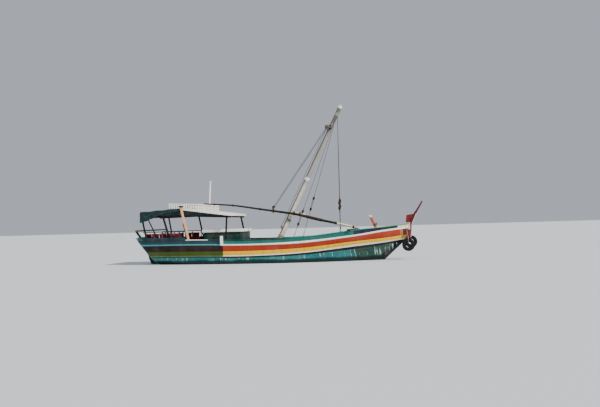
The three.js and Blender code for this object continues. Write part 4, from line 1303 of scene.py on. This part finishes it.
for k in range(SIDE_BALUSTERS):
    x = RAIL_AFT + k * (RAIL_FORE - RAIL_AFT) / (SIDE_BALUSTERS - 1)
    for y in (-RAIL_HALF, RAIL_HALF):
        baluster(x, y, rail_top(x) + RISE - 0.02)
for k in range(1, END_BALUSTERS + 1):
    for x in (RAIL_AFT, RAIL_FORE):
        baluster(x, -RAIL_HALF + k * 2 * RAIL_HALF / (END_BALUSTERS + 1), rail_top(x) - 0.02)
piece("roof_balustrade", rails, CREAM, replaces=("roof_railing",))

# Pole on the roof with its truck and its collar
TRUCK = ((0.001, -0.01), (0.05, -0.008), (0.056, 0.008), (0.048, 0.026), (0.02, 0.036), (0.001, 0.038))
COLLAR = ((0.046, 0.0), (0.085, 0.0), (0.085, 0.03), (0.06, 0.045), (0.046, 0.045))
pole = bmesh.new()
foot, head = Vector((-3.82, 0, roof_z(-3.82) + 0.001)), Vector((-3.7, 0, 4.68))
tube(pole, [foot.lerp(head, t) for t in (0, 0.3, 0.6, 1.0)], [0.048, 0.047, 0.044, 0.036], 18)
for profile, at in ((TRUCK, head), (COLLAR, foot)):
    put(pole, turned(profile, 18), facing(at, head - foot))
piece("roof_pole", pole, CREAM, replaces=("flag_pole",))


def tarpaulin_half(x, low):
    """Points from the middle of the cloth over its side to its hem at low."""
    top = roof_z(x)
    half = []
    for j in range(TOP_POINTS + 1):
        y = ROOF_HALF * j / TOP_POINTS
        # Small wrinkles, and wide soft ones across the boat
        wrinkle = 0.0035 * math.sin(9 * y + 3.1 * x) * math.sin(5.7 * x + 1.3 * y)
        wrinkle += 0.0025 * math.sin(23 * x + 4 * y)
        wrinkle += 0.011 * (1 + math.sin(7.5 * x + 1.7 * math.sin(2.2 * y)))
        half.append(Vector((x, y, top + 0.0125 + wrinkle)))
    # Round the edge of the roof
    side_top = half[-1].z
    for j in range(1, EDGE_POINTS):
        turn = j / EDGE_POINTS * math.pi / 2
        z = side_top - (side_top - top + 0.0375) * (1 - math.cos(turn))
        half.append(Vector((x, ROOF_HALF + HANG_OUT * math.sin(turn), z)))
    # Slanting folds that deepen towards the hem
    for j in range(1, HANG_POINTS + 1):
        t = j / HANG_POINTS
        fold = math.sin(15 * x + 6 * t + 1.2 * math.sin(3.3 * x)) + 0.5 * math.sin(37 * x - 7 * t)
        off = HANG_OUT + 0.006 * math.sin(math.pi * t) + 0.017 * t**0.6 * (1.5 + fold)
        half.append(Vector((x, ROOF_HALF + off, (top - 0.04) * (1 - t) + low * t)))
    return half


# Tarpaulin over the after part of the roof: one cloth, wrinkled on top, that
# folds over the sides and hangs with a scalloped hem
cloth = bmesh.new()
rows = []
for i in range(161):
    x = TARP_AFT + (TARP_FORE - TARP_AFT) * i / 160
    hem = curve(TARP_EDGE, x) + 0.022 * (1 - abs(math.sin(math.pi * (x - TARP_AFT) / LACE_STEP)))
    starboard, port = (tarpaulin_half(x, low) for low in (hem, max(hem, TARP_PORT_EDGE)))
    rows.append(flip(reversed(starboard), -1) + port[1:])
loft(cloth, rows, closed=False)
# The cut: 2.5 m along the roof by 3.16 m over it and round its edges is 7.9 square
# metres, the hang adds 0.7 to starboard and 0.42 to port, and the folds take 0.08
tarpaulin = piece("tarpaulin_cover", cloth, TARP, replaces=("tarpaulin",), sharp=70)
shell = tarpaulin.modifiers.new("thickness", "SOLIDIFY")
shell.thickness = 0.002
shell.offset = 1.0
# Cord laced through the hem
lacing = bmesh.new()
for side, least in ((-1, 0), (1, TARP_PORT_EDGE)):
    for i in range(8):
        x = TARP_AFT + LACE_STEP * i
        z = max(curve(TARP_EDGE, x), least) + 0.05
        loop = hoop((x, 1.585 * side, z), (0, side, 0), (0, 0, 1), (0.024, 0.026), 16)
        tube(lacing, loop, 0.004, 6)
piece("tarpaulin_lacing", lacing, PALE_ROPE)

# Cushions
# One cushion is blown up by the cloth simulation, and each place gets a copy.
# No point goes further than the cap from its start, nor out of the half thickness.
CUSHION_SIZE = (0.456, 0.074, 0.426)
CUSHION_VOXEL = 0.013
CUSHION_CAP = 0.019
CUSHION_HALF = 0.058
CUSHION_STEPS = 20
CHANNEL_WIDTH = 0.013
SEAM_POINTS = 48


def shown_mesh(source):
    """The mesh that an object's modifiers give at this frame."""
    graph = bpy.context.evaluated_depsgraph_get()
    return bpy.data.meshes.new_from_object(source.evaluated_get(graph))


def blow_up(source):
    """Blows an object up from inside, as a tight filling does."""
    blow = source.modifiers.new("blow", "CLOTH")
    settings = blow.settings
    settings.quality = 6
    settings.use_pressure = True
    settings.uniform_pressure_force = 4.0
    settings.mass = 0.3
    settings.tension_stiffness = 25
    settings.compression_stiffness = 25
    settings.bending_stiffness = 1.5
    settings.effector_weights.gravity = 0
    blow.point_cache.frame_start = 1
    blow.point_cache.frame_end = CUSHION_STEPS
    for step in range(1, CUSHION_STEPS + 1):
        bpy.context.scene.frame_set(step)


def simulated_cushion():
    """A stuffed cushion centred on the origin, thin along Y."""
    mesh = bmesh.new()
    made = bmesh.ops.create_cube(mesh, size=1, matrix=Matrix.Diagonal((*CUSHION_SIZE, 1)))["verts"]
    soften(mesh, list({e for v in made for e in v.link_edges}), 0.024, 4)
    data = bpy.data.meshes.new("cushion_start")
    mesh.to_mesh(data)
    mesh.free()
    source = bpy.data.objects.new("cushion_start", data)
    bpy.context.scene.collection.objects.link(source)
    remesh = source.modifiers.new("remesh", "REMESH")
    remesh.mode = "VOXEL"
    remesh.voxel_size = CUSHION_VOXEL
    start = shown_mesh(source)
    source.modifiers.remove(remesh)
    source.data = start
    bpy.data.meshes.remove(data)
    blow_up(source)
    blown = shown_mesh(source)
    out = bmesh.new()
    out.from_mesh(start)
    for v, moved in zip(out.verts, blown.vertices):
        shift = moved.co - v.co
        if shift.length > CUSHION_CAP:
            shift *= CUSHION_CAP / shift.length
        v.co += shift
        v.co.y = max(-CUSHION_HALF, min(CUSHION_HALF, v.co.y))
        # Pulled in a little between the corners
        v.co.x *= 1 - 0.035 * (1 - min(1, abs(v.co.z) / 0.215) ** 3)
        # A sewn channel each way
        dip = 0.013 * math.exp(-((v.co.x / CHANNEL_WIDTH) ** 2))
        dip += 0.011 * math.exp(-(((v.co.z - 0.02) / CHANNEL_WIDTH) ** 2))
        if abs(v.co.y) > 0.02:
            v.co.y -= math.copysign(dip, v.co.y)
    bpy.data.objects.remove(source)
    bpy.data.meshes.remove(start)
    bpy.data.meshes.remove(blown)
    bpy.context.scene.frame_set(1)
    return out


def seam_line(mesh):
    """The furthest point of a cushion in each direction, as a closed path."""
    found = []
    for way in hoop((0, 0, 0), (1, 0, 0), (0, 0, 1), (1, 1), SEAM_POINTS)[:-1]:
        reach = 0.0
        for v in mesh.vertices:
            flat = Vector((v.co.x, 0, v.co.z))
            if flat.length > 0.1 and flat.normalized().dot(way) > 0.9985:
                reach = max(reach, flat.length)
        found.append(way * (reach + 0.001))
    return found + [found[0]]


pillow = simulated_cushion()
pillow_mesh = bpy.data.meshes.new("pillow")
pillow.to_mesh(pillow_mesh)
pillow.free()
seam = seam_line(pillow_mesh)
# Cushions in a row against the rail, from the bench up to one level
SEATS = 5
SEATS_FROM = -7.08
SEAT_STEP = 0.472
SEAT_INBOARD = 0.302
SEAT_LEAN = math.radians(4.5)
SEAT_BACK_TOP = 1.795
BENCH_OVER_DECK_LINE = 0.432
CUSHION_TALL = 0.446
for name, side in SIDES:
    pads, trims = bmesh.new(), bmesh.new()
    for k in range(SEATS):
        x = SEATS_FROM + k * SEAT_STEP
        seat = deck_point(max(0, (x + 7.155) / 14.65)).z + BENCH_OVER_DECK_LINE
        height = SEAT_BACK_TOP - seat
        lean = Matrix.Rotation(SEAT_LEAN * side, 4, "X")
        stretch = Matrix.Diagonal((1, 1, height / CUSHION_TALL, 1))
        middle = (x, (rail_y(x) + SEAT_INBOARD) * side, seat + height / 2 + 0.002)
        place = Matrix.Translation(middle) @ lean @ stretch
        one = bmesh.new()
        one.from_mesh(pillow_mesh)
        put(pads, one, place)
        tube(trims, [place @ p for p in seam], 0.0055, 6)
    replaced = (f"back_cushion_{name}",)
    pad = piece(f"seat_backs_{name}", pads, CUSHION, replaces=replaced, sharp=60)
    rounding = pad.modifiers.new("rounding", "SUBSURF")
    rounding.levels = 1
    rounding.render_levels = 1
    piece(f"seat_piping_{name}", trims, PIPING)
bpy.data.meshes.remove(pillow_mesh)

# Tyres
# Tread ribs and grooves round the outside, swept about the tyre's own axis
TREAD = (
    (0.15, -0.074), (0.165, -0.082), (0.235, -0.1), (0.3, -0.094), (0.327, -0.082), (0.343, -0.062),
    (0.345, -0.04), (0.335, -0.037), (0.335, -0.032), (0.345, -0.029), (0.346, -0.004), (0.336, -0.002),
    (0.336, 0.002), (0.346, 0.004), (0.345, 0.029), (0.335, 0.032), (0.335, 0.037), (0.345, 0.04),
    (0.343, 0.062), (0.327, 0.082), (0.3, 0.094), (0.235, 0.1), (0.165, 0.082), (0.15, 0.074),
    (0.158, 0.06), (0.2, 0.04), (0.215, 0.0), (0.2, -0.04), (0.158, -0.06),
)
LUGS = 54
LUG_ROW_Y = 0.068
# The rope's loop round the tyre, above its centre, and where the rope leaves it
LOOP_RADIUS = 0.118
LOOP_Z = 0.249
LOOP_TOP = Vector((0, 0, 0.36))
# Name, side, centre, and where its rope crosses the rail
TYRES = (
    ("starboard", 1, Vector((7.59, -0.27, 0.8)), 7.47),
    ("port", -1, Vector((7.69, 0.255, 0.96)), 7.53),
)
for name, side, centre, rope_x in TYRES:
    tyre = turned(TREAD, 72, closed=True)
    for k in range(LUGS):
        for row in (-1, 1):
            lug = bmesh.new()
            low = (0.325, row * LUG_ROW_Y - 0.01, -0.008)
            brick(lug, low, (0.3405, row * LUG_ROW_Y + 0.01, 0.008), 0.002)
            # The two rows stand half a step apart
            step = Matrix.Rotation(2 * math.pi * (k + 0.5 * (row > 0)) / LUGS, 4, "Z")
            put(tyre, lug, step @ SIDEWAYS)
    tyre.transform(Matrix.Translation(centre) @ SIDEWAYS)
    piece(f"tyre_{name}", tyre, RUBBER, replaces=(f"tyre_fender_{name}",))
    # The rope goes round the tyre, up to the cap rail and over it
    rope = bmesh.new()
    loop = hoop(centre + Vector((0, 0, LOOP_Z)), (0, 0, 1), (0, 1, 0), (LOOP_RADIUS, LOOP_RADIUS), 24)
    tube(rope, loop, ROPE_RADIUS, 8)
    rail = hull_point("rail", share_at(rope_x))
    end = Vector((rope_x, (rail.y - 0.036) * side, rail.z + 0.02))
    strand(rope, centre + LOOP_TOP, end, ROPE_RADIUS, 6)
    over = [
        end,
        end + Vector((0, 0, 0.045)),
        Vector((rope_x, (rail.y - 0.02) * side, rail.z + 0.066)),
        Vector((rope_x - 0.01, (rail.y + 0.04) * side, rail.z + 0.07)),
        Vector((rope_x - 0.02, (rail.y + 0.1) * side, rail.z + 0.058)),
    ]
    tube(rope, smooth_path(over, 4), ROPE_RADIUS, 8)
    helix(rope, centre + Vector((0, 0, 0.4)), end - centre - LOOP_TOP, 0.016, 7, 0.0118, 0.006)
    piece(f"tyre_line_{name}", rope, PALE_ROPE, replaces=(f"tyre_rope_{name}",))

# Rope round the foot of the mooring post
post_low, post_high = Vector((6.0, 0, 1.6)), Vector((5.48, 0, 2.48))
mooring = (post_low.lerp(post_high, 0.42), post_high - post_low, 0.112, 4, 0.026, 0.012)
wound("mooring_turns", ROPE, [mooring])

# Irons of the rudder: name, body, heights of the straps, half the distance
# between the two straps, and how far aft of the transom they start and end
IRONS = (
    ("sternpost_straps", "hull", (-0.62, 0.64), 0.0575, 0.0, 0.16),
    ("rudder_straps", "rudder", (-0.56, 0.7), 0.042, 0.2, 0.5),
)
for label, rider, heights, apart, near, far in IRONS:
    straps = bmesh.new()
    for z in heights:
        post_x = TRANSOM_X + TRANSOM_RAKE * z - SKIN
        for y in (-apart, apart):
            start = (post_x - near - 0.02, y, z - 0.014 * near)
            bar(straps, start, (post_x - far + 0.02, y, z - 0.014), 0.05, 0.006, ease=0.001)
    piece(label, straps, IRON, body=rider)

# Stage: a plain pale studio floor at the waterline, a cool sky and two suns
floor_mesh = bmesh.new()
bmesh.ops.create_grid(floor_mesh, x_segments=1, y_segments=1, size=250)
floor_data = bpy.data.meshes.new("floor")
floor_mesh.to_mesh(floor_data)
floor_mesh.free()
floor = bpy.data.objects.new("floor", floor_data)
bpy.context.scene.collection.objects.link(floor)
# Matt, so that the hull's shadow lies soft on it
pale_floor, add = material("studio_floor")
finish(add, linear("D9DADB"), 0.7)
floor_data.materials.append(pale_floor)
floor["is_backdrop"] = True

world = bpy.data.worlds.new("studio")
bpy.context.scene.world = world
world.use_nodes = True
sky = world.node_tree.nodes["Background"]
sky.inputs["Color"].default_value = linear("DCE4F0")
sky.inputs["Strength"].default_value = 0.62

# Name, strength, width of the disc and turn, in degrees
SUNS = (("key", 4.3, 4, (49, 0, 60)), ("fill", 0.3, 40, (60, 0, -30)))
for name, energy, angle, turn in SUNS:
    lamp = bpy.data.lights.new(name, "SUN")
    lamp.energy = energy
    lamp.angle = math.radians(angle)
    lamp_object = bpy.data.objects.new(name, lamp)
    lamp_object.rotation_euler = [math.radians(v) for v in turn]
    bpy.context.scene.collection.objects.link(lamp_object)

# Camera, solved from the photograph: eye height from the horizon, and the
# boat's heading and distance from the ends of the hull and the mast
BEARING = math.radians(12)
DISTANCE = 47.0
EYE_HEIGHT = 2.2
LOOK_AT_X = 1.55
ROLL = math.radians(-1.64)
# Rows of the picture: the horizon and the middle; and the lens in pixels
HORIZON_ROW = 222.1
MIDDLE_ROW = 203.5
LENS_PIXELS = 833.3
camera = bpy.data.cameras.new("view")
camera.lens = 50
camera.sensor_width = 36
camera.clip_end = 500
viewer = bpy.data.objects.new("view", camera)
bpy.context.scene.collection.objects.link(viewer)
right = Vector((math.cos(BEARING), math.sin(BEARING), 0))
ahead = Vector((-math.sin(BEARING), math.cos(BEARING), 0))
viewer.location = (LOOK_AT_X + DISTANCE * math.sin(BEARING), -DISTANCE * math.cos(BEARING), EYE_HEIGHT)
tilt = Quaternion(right, math.atan((HORIZON_ROW - MIDDLE_ROW) / LENS_PIXELS))
viewer.rotation_mode = "QUATERNION"
viewer.rotation_quaternion = tilt @ ahead.to_track_quat("-Z", "Y") @ Quaternion((0, 0, 1), ROLL)
bpy.context.scene.camera = viewer

size = {"cad": [list(v) for v in cad_bounds], "visual": [list(v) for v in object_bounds()]}
